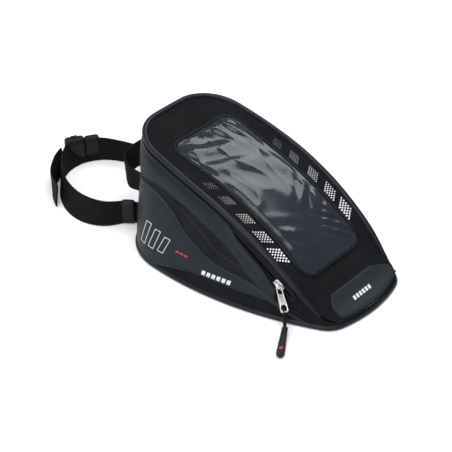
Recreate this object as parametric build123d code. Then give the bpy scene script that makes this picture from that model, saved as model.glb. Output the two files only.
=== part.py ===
"""A motorcycle tank bag: a wedge-shaped bag on a magnetic base, with a zipped map lid,
a carry handle and an adjustable strap that goes round the steering head.

Millimetres.  +Y points forwards (the tall end), +X to the rider's right, +Z up.
The origin lies on the face that rests on the tank, on the bag's centre plane.
"""
from build123d import *
import math
import os

# ---------------------------------------------------------------- driving dimensions
nose_y = -151.0            # rider's end of the base
front_y = 144.0            # tall end of the bag
loft_height = 150.0        # height of the upper outline that the walls aim at

base_half_width = 102.0    # base outline
base_widest_y = 40.0
base_side_radius = 400.0
base_front_corner = 72.0
base_nose_radius = 170.0
base_nose_corner = 28.0

top_half_width = 62.5      # the outline at loft_height
top_widest_y = 75.0
top_side_radius = 600.0
top_front_corner = 42.0
top_nose_radius = 120.0
top_nose_corner = 14.0
front_edge_radius = 900.0

lid_arc_centre = (131.2, -236.5)   # (y, z) of the lid's main curve
lid_arc_radius = 358.0
roof_arc_radius = 1500.0
roof_start_y = 35.0
nose_curve_start_y = -105.0
nose_curve_radius = 110.0
hinge_y = -100.0
hinge_rise = 3.0           # the fold's axis above the lid's top face

skin = 1.2                 # outer fabric
padding = 3.0              # wall foam
lining = 0.8
gap = 0.3                  # clearance between moving pieces

base_skin_thickness = 1.5
base_foam_thickness = 5.0
base_board_thickness = 1.5
piping_radius = 3.0
piping_inset = 1.5
magnet_radius = 16.0
magnet_thickness = 4.0
magnet_places = [(-38.0, -80.0), (38.0, -80.0), (-58.0, 10.0), (58.0, 10.0), (-45.0, 90.0), (45.0, 90.0)]

lid_skin = 1.2
lid_board = 2.2
rim_out, rim_in, rim_up, rim_down = 2.0, 4.0, 2.5, 2.4   # the piped edge of the lid

window_length = (-94.5, 95.0)
window_half_width = 46.0
window_waist = 3.0         # how far the window's sides draw in
window_corner = 14.0
window_film = 0.6
binding_width = 4.0
binding_height = 1.4

zip_depth = 9.0            # the zip's centre line below the lid's top face
zip_run_end_y = -28.0      # the zip is straight from the fold to here
coil_gap = 0.5             # each coil's distance from the zip's centre line
coil_edge = 3.0            # outer edge of each coil
coil_thickness = 1.6
tape_edge = 5.0            # the walls stop this far below the zip's centre line
tape_thickness = 0.8
tape_inset = 0.6           # the zip's plane below the wall's outer face

hood_thickness = 2.2
hood_flap = 1.2
hood_start_y = -78.0
flap_start_y = -12.0
flap_rise = 2.5            # the flap's top edge above the zip's centre line

slider_rest = 17.5         # along the zip from the fold
slider_travel = 58.0
slider_half_length = 6.5
slider_low, slider_high = -4.2, 3.4
slider_back, slider_front = (-2.0, -1.1), (1.9, 2.9)
bridge_half_length, bridge_half_width = 4.6, 1.2
bridge_top, bridge_bar = 8.6, 1.2
tab_turn = 26.0            # degrees that the tab hangs below the line of the zip
tab_lift = 11.0            # degrees that the tab stands off the wall, over the hood
tab_length = 26.8
tab_width, tab_thickness = 9.3, 1.2
tab_pin_radius = 0.7
tab_pin = (-1.7, 6.0)      # along the zip and out from it
tab_hole_radius = 3.5
tab_rim = 1.3
cord_radius = 1.0
cord_fold = 2.2
grip_start = (-90.5, -103.0, 5.6)
grip_end = (-127.0, -126.5, 4.6)
grip_radii = (3.4, 4.6)

handle_width, handle_thickness = 28.0, 2.0
handle_height = 46.0
handle_half_span = 50.0
handle_reach = 40.0

strap_width, strap_thickness = 30.0, 1.6
strap_anchor_x = 50.0

reach_x = 160.0            # half length of the cutting prisms

# ---------------------------------------------------------------- outlines and profiles


def unit(x, y):
    length = math.hypot(x, y)
    return x / length, y / length


def inner_circle(centre_a, radius_a, centre_b, radius_b, radius, upper):
    """Centre of a circle that touches two larger circles from the inside."""
    ra, rb = radius_a - radius, radius_b - radius
    dx, dy = centre_b[0] - centre_a[0], centre_b[1] - centre_a[1]
    d = math.hypot(dx, dy)
    along = (ra * ra - rb * rb + d * d) / (2 * d)
    off = math.sqrt(max(ra * ra - along * along, 0.0))
    px, py = centre_a[0] + along * dx / d, centre_a[1] + along * dy / d
    found = [(px - off * dy / d, py + off * dx / d), (px + off * dy / d, py - off * dx / d)]
    return (max if upper else min)(found, key=lambda p: p[1])


def outline(share, inset):
    """The bag's outline at a share of loft_height, drawn in by inset, as eight tangent arcs."""
    def between(a, b):
        return a + (b - a) * share

    half = between(base_half_width, top_half_width)
    side_r = between(base_side_radius, top_side_radius)
    nose_r = between(base_nose_radius, top_nose_radius)
    nose_c = between(base_nose_corner, top_nose_corner)
    front_c = between(base_front_corner, top_front_corner)
    side = (half - side_r, between(base_widest_y, top_widest_y))
    nose = (0.0, nose_y + nose_r)
    front = (0.0, front_y - front_edge_radius)
    c1 = inner_circle(nose, nose_r, side, side_r, nose_c, False)
    c2 = inner_circle(front, front_edge_radius, side, side_r, front_c, True)

    def on(centre, direction, radius):
        return centre[0] + direction[0] * radius, centre[1] + direction[1] * radius

    u_nose, u_side1 = unit(c1[0] - nose[0], c1[1] - nose[1]), unit(c1[0] - side[0], c1[1] - side[1])
    u_side2, u_front = unit(c2[0] - side[0], c2[1] - side[1]), unit(c2[0] - front[0], c2[1] - front[1])
    mid1 = unit(u_nose[0] + u_side1[0], u_nose[1] + u_side1[1])
    mid_s = unit(u_side1[0] + u_side2[0], u_side1[1] + u_side2[1])
    mid2 = unit(u_side2[0] + u_front[0], u_side2[1] + u_front[1])
    n = on(nose, u_nose, nose_r - inset)
    s1, s2 = on(side, u_side1, side_r - inset), on(side, u_side2, side_r - inset)
    f = on(front, u_front, front_edge_radius - inset)
    right = [
        (n, on(c1, mid1, nose_c - inset), s1),
        (s1, on(side, mid_s, side_r - inset), s2),
        (s2, on(c2, mid2, front_c - inset), f),
    ]

    def flip(p):
        return -p[0], p[1]

    arcs = [(flip(n), (0.0, nose_y + inset), n)] + right + [(f, (0.0, front_y - inset), flip(f))]
    arcs += [(flip(c), flip(b), flip(a)) for a, b, c in reversed(right)]
    z = share * loft_height
    return Wire([ThreePointArc(*[(x, y, z) for x, y in arc]).edge() for arc in arcs])


def tub(inset):
    """The bag's outer block, drawn in by inset, taller than the lid."""
    return Solid.make_loft([outline(0.0, inset), outline(1.0, inset)], True)


tubs = {}


def ring(outer, inner):
    """A wall all round the bag, between two insets."""
    for inset in (outer, inner):
        if inset not in tubs:
            tubs[inset] = tub(inset)
    return tubs[outer] - tubs[inner]


def block(inset):
    if inset not in tubs:
        tubs[inset] = tub(inset)
    return tubs[inset]


def arc_angle(y):
    return math.asin((lid_arc_centre[0] - y) / lid_arc_radius)


def lid_point(y, offset=0.0):
    """(y, z) on the lid's main curve, moved out by offset along its normal."""
    angle = arc_angle(y)
    radius = lid_arc_radius + offset
    return lid_arc_centre[0] - radius * math.sin(angle), lid_arc_centre[1] + radius * math.cos(angle)


def lid_edges(offset):
    """The lid's top line in the YZ plane, moved out by offset: nose curve, main curve and roof."""
    start, end = arc_angle(nose_curve_start_y), arc_angle(roof_start_y)
    join = lid_point(nose_curve_start_y)
    nose_c = (join[0] - nose_curve_radius * math.sin(start), join[1] + nose_curve_radius * math.cos(start))
    roof_join = lid_point(roof_start_y)
    roof_c = (roof_join[0] + roof_arc_radius * math.sin(end), roof_join[1] - roof_arc_radius * math.cos(end))
    tip = math.radians(9.0)

    def nose_at(a):
        r = nose_curve_radius - offset
        return nose_c[0] + r * math.sin(a), nose_c[1] - r * math.cos(a)

    def main_at(a):
        r = lid_arc_radius + offset
        return lid_arc_centre[0] - r * math.sin(a), lid_arc_centre[1] + r * math.cos(a)

    def roof_at(a):
        r = roof_arc_radius + offset
        return roof_c[0] - r * math.sin(a), roof_c[1] + r * math.cos(a)

    roof_end = math.asin((roof_c[0] - front_y - 20.0) / roof_arc_radius)
    spans = [(nose_at, tip, start), (main_at, start, end), (roof_at, end, roof_end)]
    edges = []
    for place, a, b in spans:
        edges.append([place(a), place((a + b) / 2), place(b)])
    return edges


def yz(points):
    return [(0.0, y, z) for y, z in points]


def prism(edges, low=-reach_x, high=reach_x):
    """A closed YZ outline pushed along X from low to high."""
    face = Face(Wire(edges))
    face = face.moved(Location((low, 0, 0)))
    return extrude(face, amount=high - low, dir=(1, 0, 0))


def under_lid(offset):
    """Everything below the lid's top line moved out by offset."""
    arcs = lid_edges(offset)
    first, last = arcs[0][0], arcs[-1][2]
    edges = [ThreePointArc(*yz(arc)).edge() for arc in arcs]
    floor = -30.0
    edges += [Line(*yz(pair)).edge() for pair in (
        (last, (last[0], floor)), ((last[0], floor), (first[0], floor)), ((first[0], floor), first))]
    return prism(edges)


def slab(lower, upper):
    """The layer between two offsets of the lid's top line."""
    return under_lid(upper) - under_lid(lower)


def box_between(low, high):
    size = [b - a for a, b in zip(low, high)]
    return Box(*size, align=(Align.MIN,) * 3).moved(Location(low))


def behind(y):
    """All space on the nose side of y."""
    return box_between((-reach_x, -200.0, -40.0), (reach_x, y, 200.0))


def ahead(y):
    return box_between((-reach_x, y, -40.0), (reach_x, 260.0, 200.0))


def above(z):
    return box_between((-reach_x, -200.0, z), (reach_x, 260.0, 260.0))


def side_space(sign):
    low, high = (-reach_x, 0.0) if sign < 0 else (0.0, reach_x)
    return box_between((low, -200.0, -40.0), (high, 260.0, 260.0))


def hinge_cut(offset_y=0.0):
    """The space ahead of the fold: a plane square to the lid at hinge_y."""
    angle = arc_angle(hinge_y)
    y, z = lid_point(hinge_y + offset_y)
    plane = Plane(origin=(0, y, z), x_dir=(1, 0, 0), z_dir=(0, math.cos(angle), math.sin(angle)))
    return extrude(plane * Rectangle(2 * reach_x, 400.0), amount=400.0)


# ---------------------------------------------------------------- seams of the side panels, (y, z)
band_low_line = [(200, 78), (141, 85), (112, 92), (86, 93.3), (50.7, 86.7), (13.2, 72.9), (-9.5, 63.7),
                 (-31.8, 50.1), (-53.4, 35.8), (-74, 24.5), (-100, 12), (-125, 4)]
mesh_low_line = [(200, 70), (140, 78), (112, 86), (87.5, 85), (60.6, 72.8), (42.5, 59.4), (19.2, 47.5),
                 (-4, 39.6), (-26.5, 36.6), (-54, 31.5), (-74, 23.6), (-100, 11), (-125, 3)]
panel_low_line = [(200, -12), (110, -4), (94.7, 0.5), (73.4, 6.5), (47.5, 13.5), (20, 19.5), (-7.4, 20.8),
                  (-37.5, 20.4), (-60, 20), (-74, 18), (-100, 8), (-125, 1)]


def under_line(points, low=-reach_x, high=reach_x):
    """Everything below a seam line drawn in the YZ plane."""
    first, last = points[0], points[-1]
    floor = -30.0
    edges = [Spline(*yz(points)).edge()]
    edges += [Line(*yz(pair)).edge() for pair in (
        (last, (last[0], floor)), ((last[0], floor), (first[0], floor)), ((first[0], floor), first))]
    return prism(edges, low, high)


def solids(shape):
    """Just the solids of a shape, as one compound or the only solid."""
    found = [s for s in shape.solids() if s.volume > 0.5]
    return found[0] if len(found) == 1 else Compound(children=found)


parts = {}


def keep(name, shape):
    parts[name] = solids(shape)


# ---------------------------------------------------------------- the zip's line
def zip_points():
    return lid_point(hinge_y, -zip_depth), lid_point(zip_run_end_y, -zip_depth)


def zip_edges(offset):
    """The zip's centre line in the YZ plane moved up by offset: a straight run, then the lid's curve."""
    (y0, z0), (y1, z1) = zip_points()
    ty, tz = unit(y1 - y0, z1 - z0)
    bend = arc_angle(zip_run_end_y)
    my, mz = unit(-tz - math.sin(bend), ty + math.cos(bend))
    miter = offset / (my * -tz + mz * ty)
    corner = (y1 + my * miter, z1 + mz * miter)
    back = 120.0
    start = (y0 - tz * offset - ty * back, z0 + ty * offset - tz * back)
    arcs = lid_edges(offset - zip_depth)
    mid_y = (zip_run_end_y + roof_start_y) / 2
    main = [corner, lid_point(mid_y, offset - zip_depth), arcs[2][0]]
    return start, corner, main, arcs[2]


def under_zip(offset):
    start, corner, main, roof = zip_edges(offset)
    last = roof[2]
    floor = -200.0
    edges = [Line(*yz((start, corner))).edge(), ThreePointArc(*yz(main)).edge(), ThreePointArc(*yz(roof)).edge()]
    edges += [Line(*yz(pair)).edge() for pair in (
        (last, (last[0], floor)), ((last[0], floor), (start[0], floor)), ((start[0], floor), start))]
    return prism(edges)


def lid_space(offset, fold_gap):
    """Where the lid and its skirt are: ahead of the fold and above the zip's line moved up by offset."""
    return hinge_cut(fold_gap) - under_zip(offset)


def wall_x(y, z, inset):
    """Half width of the bag at a height, measured to a layer of the wall."""
    line = Edge.make_line((0, y, z), (200, y, z))
    return max(v.X for v in (block(inset) & line).vertices())


def zip_plane():
    """Left zip run: X along the zip, Y down the wall, Z out of the wall."""
    (y0, z0), (y1, z1) = zip_points()
    a = Vector(-wall_x(y0, z0, tape_inset), y0, z0)
    b = Vector(-wall_x(y1, z1, tape_inset), y1, z1)
    along = (b - a).normalized()
    lean = math.atan2(base_half_width - top_half_width, loft_height)
    out = Vector(-math.cos(lean), 0, math.sin(lean))
    out = (out - along * out.dot(along)).normalized()
    return Plane(origin=a, x_dir=along, z_dir=out), (b - a).length


ZIP, ZIP_LENGTH = zip_plane()


def zip_bar(low, high, thickness, start=0.0, end=None):
    """A straight bar on both zip runs, between two heights above the centre line."""
    end = ZIP_LENGTH if end is None else end
    size = (end - start, high - low, thickness)
    place = ((start + end) / 2, -(low + high) / 2, 0)
    left = ZIP.location * Pos(*place) * Box(*size)
    return left + mirror(left, about=Plane.YZ)


def zip_strip(low, high, thickness):
    """The same section carried on round the tall end of the bag."""
    half = thickness / 2
    round_end = ring(tape_inset - half, tape_inset + half) & (under_zip(high) - under_zip(low))
    run_end = zip_points()[1][0] - 0.6 * abs(high)
    return (round_end & ahead(run_end)) + zip_bar(low, high, thickness)


# ---------------------------------------------------------------- base
base_top = base_skin_thickness + base_foam_thickness + base_board_thickness
below_nose = under_lid(-lid_skin - lid_board)


def layer(z0, z1, inset):
    return block(inset) & box_between((-reach_x, -200, z0), (reach_x, 260, z1)) & below_nose


def tube_along(wire, radius):
    start = wire @ 0
    return sweep(Plane(origin=start, z_dir=wire % 0) * Circle(radius), path=wire)


piping_path = outline(0.0, piping_inset).moved(Location((0, 0, piping_radius)))
base_piping = tube_along(piping_path, piping_radius)
foam_z = base_skin_thickness
board_z = foam_z + base_foam_thickness
magnets = []
for mx, my in magnet_places:
    magnets.append(Pos(mx, my, foam_z) * Cylinder(magnet_radius, magnet_thickness, align=(Align.CENTER,) * 2 + (Align.MIN,)))
keep("base_piping", base_piping)
keep("base_skin", layer(0, base_skin_thickness, piping_inset + 0.1) - base_piping)
keep("base_foam", layer(foam_z, board_z, skin) - base_piping - magnets)
keep("base_board", layer(board_z, base_top, skin))
keep("base_lining", layer(base_top, base_top + lining, skin + padding))
keep("magnets", Compound(children=magnets))

# ---------------------------------------------------------------- walls
no_lid = lid_space(-tape_edge, -gap / 2)
side_skin = (ring(0, skin) & under_lid(-rim_down) & above(base_skin_thickness)) - base_piping - no_lid
keep("wall_foam", ((ring(skin, skin + padding) & above(base_top)) & below_nose) - no_lid)
keep("wall_lining", ((ring(skin + padding, skin + padding + lining) & above(base_top + lining)) & below_nose) - no_lid)


def corner_wedge(grow):
    """The tall end between its two upright seams."""
    low, high = 67.0 + grow, 26.0 + grow
    outline_points = [(-low, 0), (low, 0), (high, 155), (-high, 155)]
    face = Plane(origin=(0, 60, 0), x_dir=(1, 0, 0), z_dir=(0, -1, 0)) * make_face(Polyline(*outline_points, close=True))
    return extrude(face, amount=-200.0)


front = corner_wedge(0.0)
below_band = under_line(band_low_line)
below_mesh = under_line(mesh_low_line)
below_panel = under_line(panel_low_line)
behind_wedge = side_skin - front
keep("upper_wall", side_skin - below_band)
keep("front_panel", side_skin & front & below_band)
lens_low_line = [(56, 92), (55, 85), (36, 74.5), (16, 64), (-1, 55), (-16, 50), (-32, 47), (-42, 46)]
lens_region = below_band - under_line(lens_low_line)
lens_region = lens_region & ahead(-36.0) & behind(54.0)
for side, sign in (("left", -1), ("right", 1)):
    half = behind_wedge & side_space(sign)
    keep("mesh_panel_" + side, (half & below_band) - below_mesh)
    keep("side_panel_" + side, (half & below_mesh) - below_panel)
    keep("lower_panel_" + side, half & below_panel)
    keep("lens_panel_" + side, ring(-1.5, 0) & lens_region & side_space(sign))
    seam = (corner_wedge(1.5) - corner_wedge(-1.5)) & ring(-1.3, 0) & below_band & side_space(sign)
    keep("corner_binding_" + side, (seam & above(2 * piping_radius)) - base_piping)

# ---------------------------------------------------------------- hood over the zip
hood = (ring(-hood_thickness, 0) & ahead(hood_start_y) & under_zip(-tape_edge)) - below_band
flap = ring(-hood_thickness - hood_flap, -hood_thickness) & ahead(flap_start_y) & under_zip(flap_rise)
flap = flap - under_zip(-2 * tape_edge)
keep("zip_hood", hood + flap)

# ---------------------------------------------------------------- nose
rim = ring(-rim_out, rim_in) & slab(-rim_down, rim_up)
nose_tip = box_between((-56, -200, -20), (56, -124, 60))
behind_fold = hinge_cut(-gap / 2)
nose_rim = rim - behind_fold - nose_tip - base_piping
keep("nose_piping", nose_rim)
keep("nose_panel", (slab(-lid_skin, 0) & block(0)) - behind_fold - rim - base_piping)
nose_board = (slab(-lid_skin - lid_board, -lid_skin) & block(rim_in)) - behind_fold
keep("nose_foam", nose_board - base_piping)
patch_points = [(-60, -160), (60, -160), (56, -138), (34, -117), (-34, -117), (-56, -138)]
patch_face = make_face(Polyline(*patch_points, close=True))
patch_space = extrude(Pos(0, 0, -20) * patch_face, amount=80)
keep("nose_patch", (slab(0, 0.8) & block(rim_in - 2) & patch_space) - base_piping - nose_rim)

# ---------------------------------------------------------------- lid
ahead_of_fold = hinge_cut(gap / 2)


def window_space(grow):
    low, high = window_length[0] - grow, window_length[1] + grow
    half = window_half_width + grow
    waist = half - window_waist
    left = ThreePointArc((-half, high), (-waist, (low + high) / 2), (-half, low))
    right = ThreePointArc((half, low), (waist, (low + high) / 2), (half, high))
    face = make_face([left, Line((-half, low), (half, low)), right, Line((half, high), (-half, high))])
    face = fillet(face.vertices(), window_corner + grow)
    return extrude(face, amount=200)


window = window_space(0.0)
lid_top = slab(-lid_skin, 0) & block(rim_in) & ahead_of_fold
keep("lid_fabric", lid_top - window)
keep("map_backing", lid_top & window)
keep("lid_board", slab(-lid_skin - lid_board, -lid_skin) & block(rim_in) & ahead_of_fold)
keep("lid_piping", rim & ahead_of_fold)
keep("window_film", slab(0, window_film) & window)
binding = slab(0, binding_height) & (window_space(binding_width) - window)
keep("window_binding", binding & ahead_of_fold)

patch_rows = [(31.0, 10.0), (7.0, 11.0), (-19.5, 12.0), (-43.5, 13.0), (-65.0, 14.0)]   # (y, size)
for side, sign in (("left", -1), ("right", 1)):
    pieces = []
    for py, size in patch_rows:
        across = size * 0.85
        slant = size * 0.25
        corners = [(0, -slant), (across, slant), (across, size + slant), (0, size - slant)]
        corners = [(sign * (51.5 + cx), py + cy - size / 2) for cx, cy in corners]
        column = extrude(make_face(Polyline(*corners, close=True)), amount=200)
        pieces.append(slab(0, 0.4) & column)
    keep("reflectors_" + side, Compound(children=[p.solid() for p in pieces]))

# ---------------------------------------------------------------- zip
above_zip_lid = under_lid(-rim_down)
keep("zip_coil_upper", zip_strip(coil_gap, coil_edge, coil_thickness) & ahead_of_fold)
tall = zip_depth + 4.0
tape_upper = zip_strip(coil_edge, tall, tape_thickness) & above_zip_lid & ahead_of_fold
keep("zip_tape_upper", tape_upper - parts["zip_coil_upper"])
keep("zip_coil_lower", zip_strip(-coil_edge, -coil_gap, coil_thickness) & ahead_of_fold)
tape_lower = zip_strip(-tape_edge, -coil_edge, tape_thickness) & ahead_of_fold
keep("zip_tape_lower", tape_lower - parts["zip_coil_lower"])

AT = ZIP.location * Pos(slider_rest, 0, 0)     # slider's own frame: along, down, out


def slider_box(along, up, out):
    low = (along[0], -up[1], out[0])
    high = (along[1], -up[0], out[1])
    return box_between(low, high)


long_side = (-slider_half_length, slider_half_length)
wide_side = (slider_low, slider_high)
body = slider_box(long_side, wide_side, slider_back) + slider_box(long_side, wide_side, slider_front)
post = (-0.22, 0.22)
body += slider_box((-slider_half_length, -2.5), post, (slider_back[0], slider_front[1]))
across = (-bridge_half_width, bridge_half_width)
for end in (-1, 1):
    inner = end * (bridge_half_length - bridge_bar)
    outer = end * bridge_half_length
    body += slider_box((min(inner, outer), max(inner, outer)), across, (slider_front[0], bridge_top))
body += slider_box((-bridge_half_length, bridge_half_length), across, (bridge_top - bridge_bar, bridge_top))
keep("zip_slider", AT * body)

TAB = AT * Pos(tab_pin[0], 0, tab_pin[1]) * Rot(0, 0, 180 - tab_turn) * Rot(0, -tab_lift, 0)   # X along it
hole_x = tab_length - tab_rim - tab_hole_radius
arm_in = tab_width / 2 - 1.3
plate = Pos(0, 0, -tab_thickness / 2) * extrude(
    make_face(Polyline((0, -tab_width / 2), (tab_length - 4, -tab_width / 2), (tab_length, -tab_width / 2 + 2.2),
                       (tab_length, tab_width / 2 - 2.2), (tab_length - 4, tab_width / 2), (0, tab_width / 2),
                       close=True)), amount=tab_thickness)
plate -= box_between((-1, -arm_in, -2), (7.5, arm_in, 2))
plate -= Pos(hole_x, 0, 0) * Cylinder(tab_hole_radius, 4)
plate += Rot(90, 0, 0) * Cylinder(tab_pin_radius, tab_width - 0.4)
keep("pull_tab", TAB * plate)

# ---------------------------------------------------------------- pull cord and grip
fold_centre = (TAB * Pos(tab_length - tab_rim / 2, 0, 0)).position
grip_axis = Vector(*grip_end) - Vector(*grip_start)
lead = (Vector(*grip_start) - fold_centre).normalized()
out = ZIP.z_dir
spread = (out - lead * out.dot(lead)).normalized()
mouth = Vector(*grip_start) + grip_axis.normalized() * 1.0
cord_points = [mouth + spread * 1.4, fold_centre + spread * cord_fold - lead * cord_fold,
               fold_centre - spread * cord_fold - lead * cord_fold, mouth - spread * 1.4]
print("cord points", [tuple(round(c, 2) for c in p) for p in cord_points])
cord_path = FilletPolyline(*cord_points, radius=cord_fold - 0.001)
keep("pull_cord", tube_along(cord_path, cord_radius))
grip_plane = Plane(origin=grip_start, z_dir=grip_axis)
grip = grip_plane.location * loft([Circle(grip_radii[0]), Pos(0, 0, grip_axis.length) * Circle(grip_radii[1])])
keep("pull_grip", grip - parts["pull_cord"])

# ---------------------------------------------------------------- handle


def webbing_band(points, low, width, thickness):
    """A strip of webbing standing on edge along a curve in plan."""
    path = Spline(*points)
    face = trace(path, thickness)
    return extrude(Pos(0, 0, low) * face, amount=width)


sewn = 1.3                 # thickness of a webbing end sewn flat to the wall
wall_face = front_y + sewn
handle_points = [(-handle_half_span, wall_face), (-handle_half_span + 1, wall_face + 16),
                 (-handle_half_span + 18, wall_face + handle_reach - 5), (0, wall_face + handle_reach)]
handle_points += [(-x, y) for x, y in reversed(handle_points[:-1])]
handle = webbing_band(handle_points, handle_height, handle_width, handle_thickness)
handle_mid = handle_height + handle_width / 2
pivot_y = wall_face + 2.5  # the webbing bends here, just clear of the wall
spread_y = pivot_y + handle_width / 2
taper = [(pivot_y, handle_mid - 2), (spread_y, handle_height - 2), (400, handle_height - 2),
         (400, handle_height + handle_width + 2), (spread_y, handle_height + handle_width + 2),
         (pivot_y, handle_mid + 2)]
taper_edges = [Line(*yz(pair)).edge() for pair in zip(taper, taper[1:] + taper[:1])]
keep("handle", handle & prism(taper_edges))


def sewn_end(x, low, width):
    return ring(-sewn, 0) & box_between((x - 9, 100, low), (x + 9, 200, low + width))


# ---------------------------------------------------------------- steering-head strap
# (x, distance ahead of the tall end) along the lower and the upper edge of the loop and of its loose tail
strap_bottom = 0.6
strap_top = strap_bottom + strap_width * 0.93
strap_low = [(-50, 5), (-58, 14), (-80, 29), (-90, 54), (-86, 84), (-68, 114), (-40, 136), (-10, 144),
             (14, 133), (30, 110), (42, 71), (48, 36), (50, 5)]
strap_high = [(-49, 5), (-55, 16), (-72, 34), (-79, 58), (-76, 86), (-60, 118), (-32, 144), (-6, 155),
              (18, 140), (32, 112), (43, 72), (49, 38), (51, 5)]
tail_low = [(-30, 146), (-52, 136), (-76, 118), (-91, 96)]
tail_high = [(-22, 156), (-46, 145), (-70, 126), (-85, 100)]


def leaning_band(low_points, high_points):
    """A strip of webbing between a lower and an upper curve."""
    low_edge = Spline(*[(x, front_y + y, strap_bottom) for x, y in low_points]).edge()
    high_edge = Spline(*[(x, front_y + y, strap_top) for x, y in high_points]).edge()
    return Solid.thicken(Face.make_surface_from_curves(low_edge, high_edge), strap_thickness)


strap = leaning_band(strap_low, strap_high)
tail = leaning_band(tail_low, tail_high)


def plan_box(centre, angle, length, thickness, low, high):
    place = Pos(centre[0], centre[1], (low + high) / 2) * Rot(0, 0, angle)
    return place * Box(length, thickness, high - low)


keeper_size = (15.0, 8.0, 0.3, 31.5)       # length, thickness, lowest, highest
for side, sign in (("left", -1), ("right", 1)):
    x = sign * handle_half_span
    seam = parts["corner_binding_" + side]
    keep("handle_anchor_" + side, sewn_end(x, handle_height, handle_width) - seam)
    low = 2 * piping_radius
    keep("strap_anchor_" + side, sewn_end(sign * strap_anchor_x, low, strap_top - low) - seam)
keeper_left = plan_box((-56, front_y + 13), 128, *keeper_size)
keeper_right = plan_box((50, front_y + 14.5), 88, *keeper_size)

buckle_angle = -32.0
buckle_centre = (5.0, front_y + 147.0)
buckle_thickness, buckle_low, buckle_high = 13.0, 0.3, 35.0
socket_length, plug_length = 24.0, 18.0
button_length, button_depth, button_travel = 8.0, 3.5, 2.0
BUCKLE = Pos(buckle_centre[0], buckle_centre[1], 0) * Rot(0, 0, buckle_angle)


def buckle_box(x0, x1, thickness, z0, z1):
    return BUCKLE * box_between((x0, -thickness / 2, z0), (x1, thickness / 2, z1))


socket = buckle_box(-socket_length, 0, buckle_thickness, buckle_low, buckle_high)
plug = buckle_box(gap, plug_length, buckle_thickness - 2, buckle_low + 2, buckle_high - 2)
button_x = (-socket_length / 2 - button_length / 2, -socket_length / 2 + button_length / 2)
pocket = button_depth + button_travel + gap
for name, low, high in (("upper", buckle_high - button_depth, buckle_high),
                        ("lower", buckle_low, buckle_low + button_depth)):
    keep("buckle_button_" + name, buckle_box(*button_x, 6.0, low, high))
    room = (buckle_high - pocket, 99) if name == "upper" else (-9, buckle_low + pocket)
    socket -= buckle_box(button_x[0] - gap, button_x[1] + gap, 6.0 + 2 * gap, *room)
strap_cut = buckle_box(-socket_length + 3, plug_length - 3, buckle_thickness + 8, -5, 60)
keep("strap_webbing", strap - strap_cut)
keep("strap_tail", tail)
keep("buckle_socket", socket - parts["strap_webbing"] - tail)
keep("buckle_plug", plug - parts["strap_webbing"])
keep("strap_keeper_left", keeper_left - strap)
keep("strap_keeper_right", keeper_right - strap)

# ---------------------------------------------------------------- joints, for the record
fold = lid_point(hinge_y, hinge_rise)
tab_axis = (TAB.x_axis.direction).cross(TAB.z_axis.direction)


def show(name, place, axis=None):
    print(name, [round(v / 1000, 5) for v in place], [round(v, 5) for v in axis] if axis else "")


show("lid_open", (0, fold[0], fold[1]))
show("zip_slide", ZIP.origin, tuple(ZIP.x_dir))
show("pull_swing", tuple((TAB * Pos(0, 0, 0)).position), tuple(tab_axis))
show("grip_swing", tuple(fold_centre), tuple(tab_axis))
show("handle_swing", (0, pivot_y, handle_mid))

# ---------------------------------------------------------------- write
os.makedirs("parts", exist_ok=True)
for name, shape in parts.items():
    export_step(shape, "parts/" + name + ".step")
print(len(parts), "nodes")
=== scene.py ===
import bpy
import bmesh
import math
from mathutils import Matrix, Vector, noise


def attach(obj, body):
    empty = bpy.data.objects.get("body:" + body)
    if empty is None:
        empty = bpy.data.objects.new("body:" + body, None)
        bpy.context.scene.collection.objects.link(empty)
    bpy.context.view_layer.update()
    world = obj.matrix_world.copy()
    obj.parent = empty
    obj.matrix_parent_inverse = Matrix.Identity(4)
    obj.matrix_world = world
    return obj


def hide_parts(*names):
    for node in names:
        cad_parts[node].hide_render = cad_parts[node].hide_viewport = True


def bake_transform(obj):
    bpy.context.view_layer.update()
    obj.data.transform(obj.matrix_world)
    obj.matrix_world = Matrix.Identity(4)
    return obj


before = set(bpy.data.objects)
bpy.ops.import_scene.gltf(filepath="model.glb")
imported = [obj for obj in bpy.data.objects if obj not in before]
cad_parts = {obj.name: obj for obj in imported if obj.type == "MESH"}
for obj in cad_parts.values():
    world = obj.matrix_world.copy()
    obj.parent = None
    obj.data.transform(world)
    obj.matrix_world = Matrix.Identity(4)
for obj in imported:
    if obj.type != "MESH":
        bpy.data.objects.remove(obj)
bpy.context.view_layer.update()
mm = 0.001

# the camera

view = {"azimuth": -48.79, "elevation": 35.49, "distance": 1.6358, "lens": 118.2,
        "target": (-0.02896, 0.03242, 0.03936)}


def placeCamera():
    az = math.radians(view["azimuth"])
    el = math.radians(view["elevation"])
    back = Vector((math.sin(az) * math.cos(el), -math.cos(az) * math.cos(el), math.sin(el)))
    cam = bpy.data.cameras.new("camera")
    cam.lens = view["lens"]
    cam.sensor_width = 36
    cam.clip_end = 50
    camera = bpy.data.objects.new("camera", cam)
    camera.location = Vector(view["target"]) + back * view["distance"]
    camera.rotation_euler = back.to_track_quat("Z", "Y").to_euler()
    bpy.context.collection.objects.link(camera)
    bpy.context.scene.camera = camera


placeCamera()

# the bag's form, in millimetres: two outlines joined by straight walls, and the lid's line from the side

form = {"noseY": -151, "frontY": 144, "topZ": 150, "frontEdge": 900,
        "base": {"half": 102, "widest": 40, "side": 400, "frontCorner": 72, "nose": 170, "noseCorner": 28},
        "top": {"half": 62.5, "widest": 75, "side": 600, "frontCorner": 42, "nose": 120, "noseCorner": 14}}
lidLine = {"centre": (131.2, -236.5), "radius": 358, "roofRadius": 1500, "roofStart": 35,
           "noseStart": -105, "noseRadius": 110}
zipDepth = 9
foldY = -100


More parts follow.
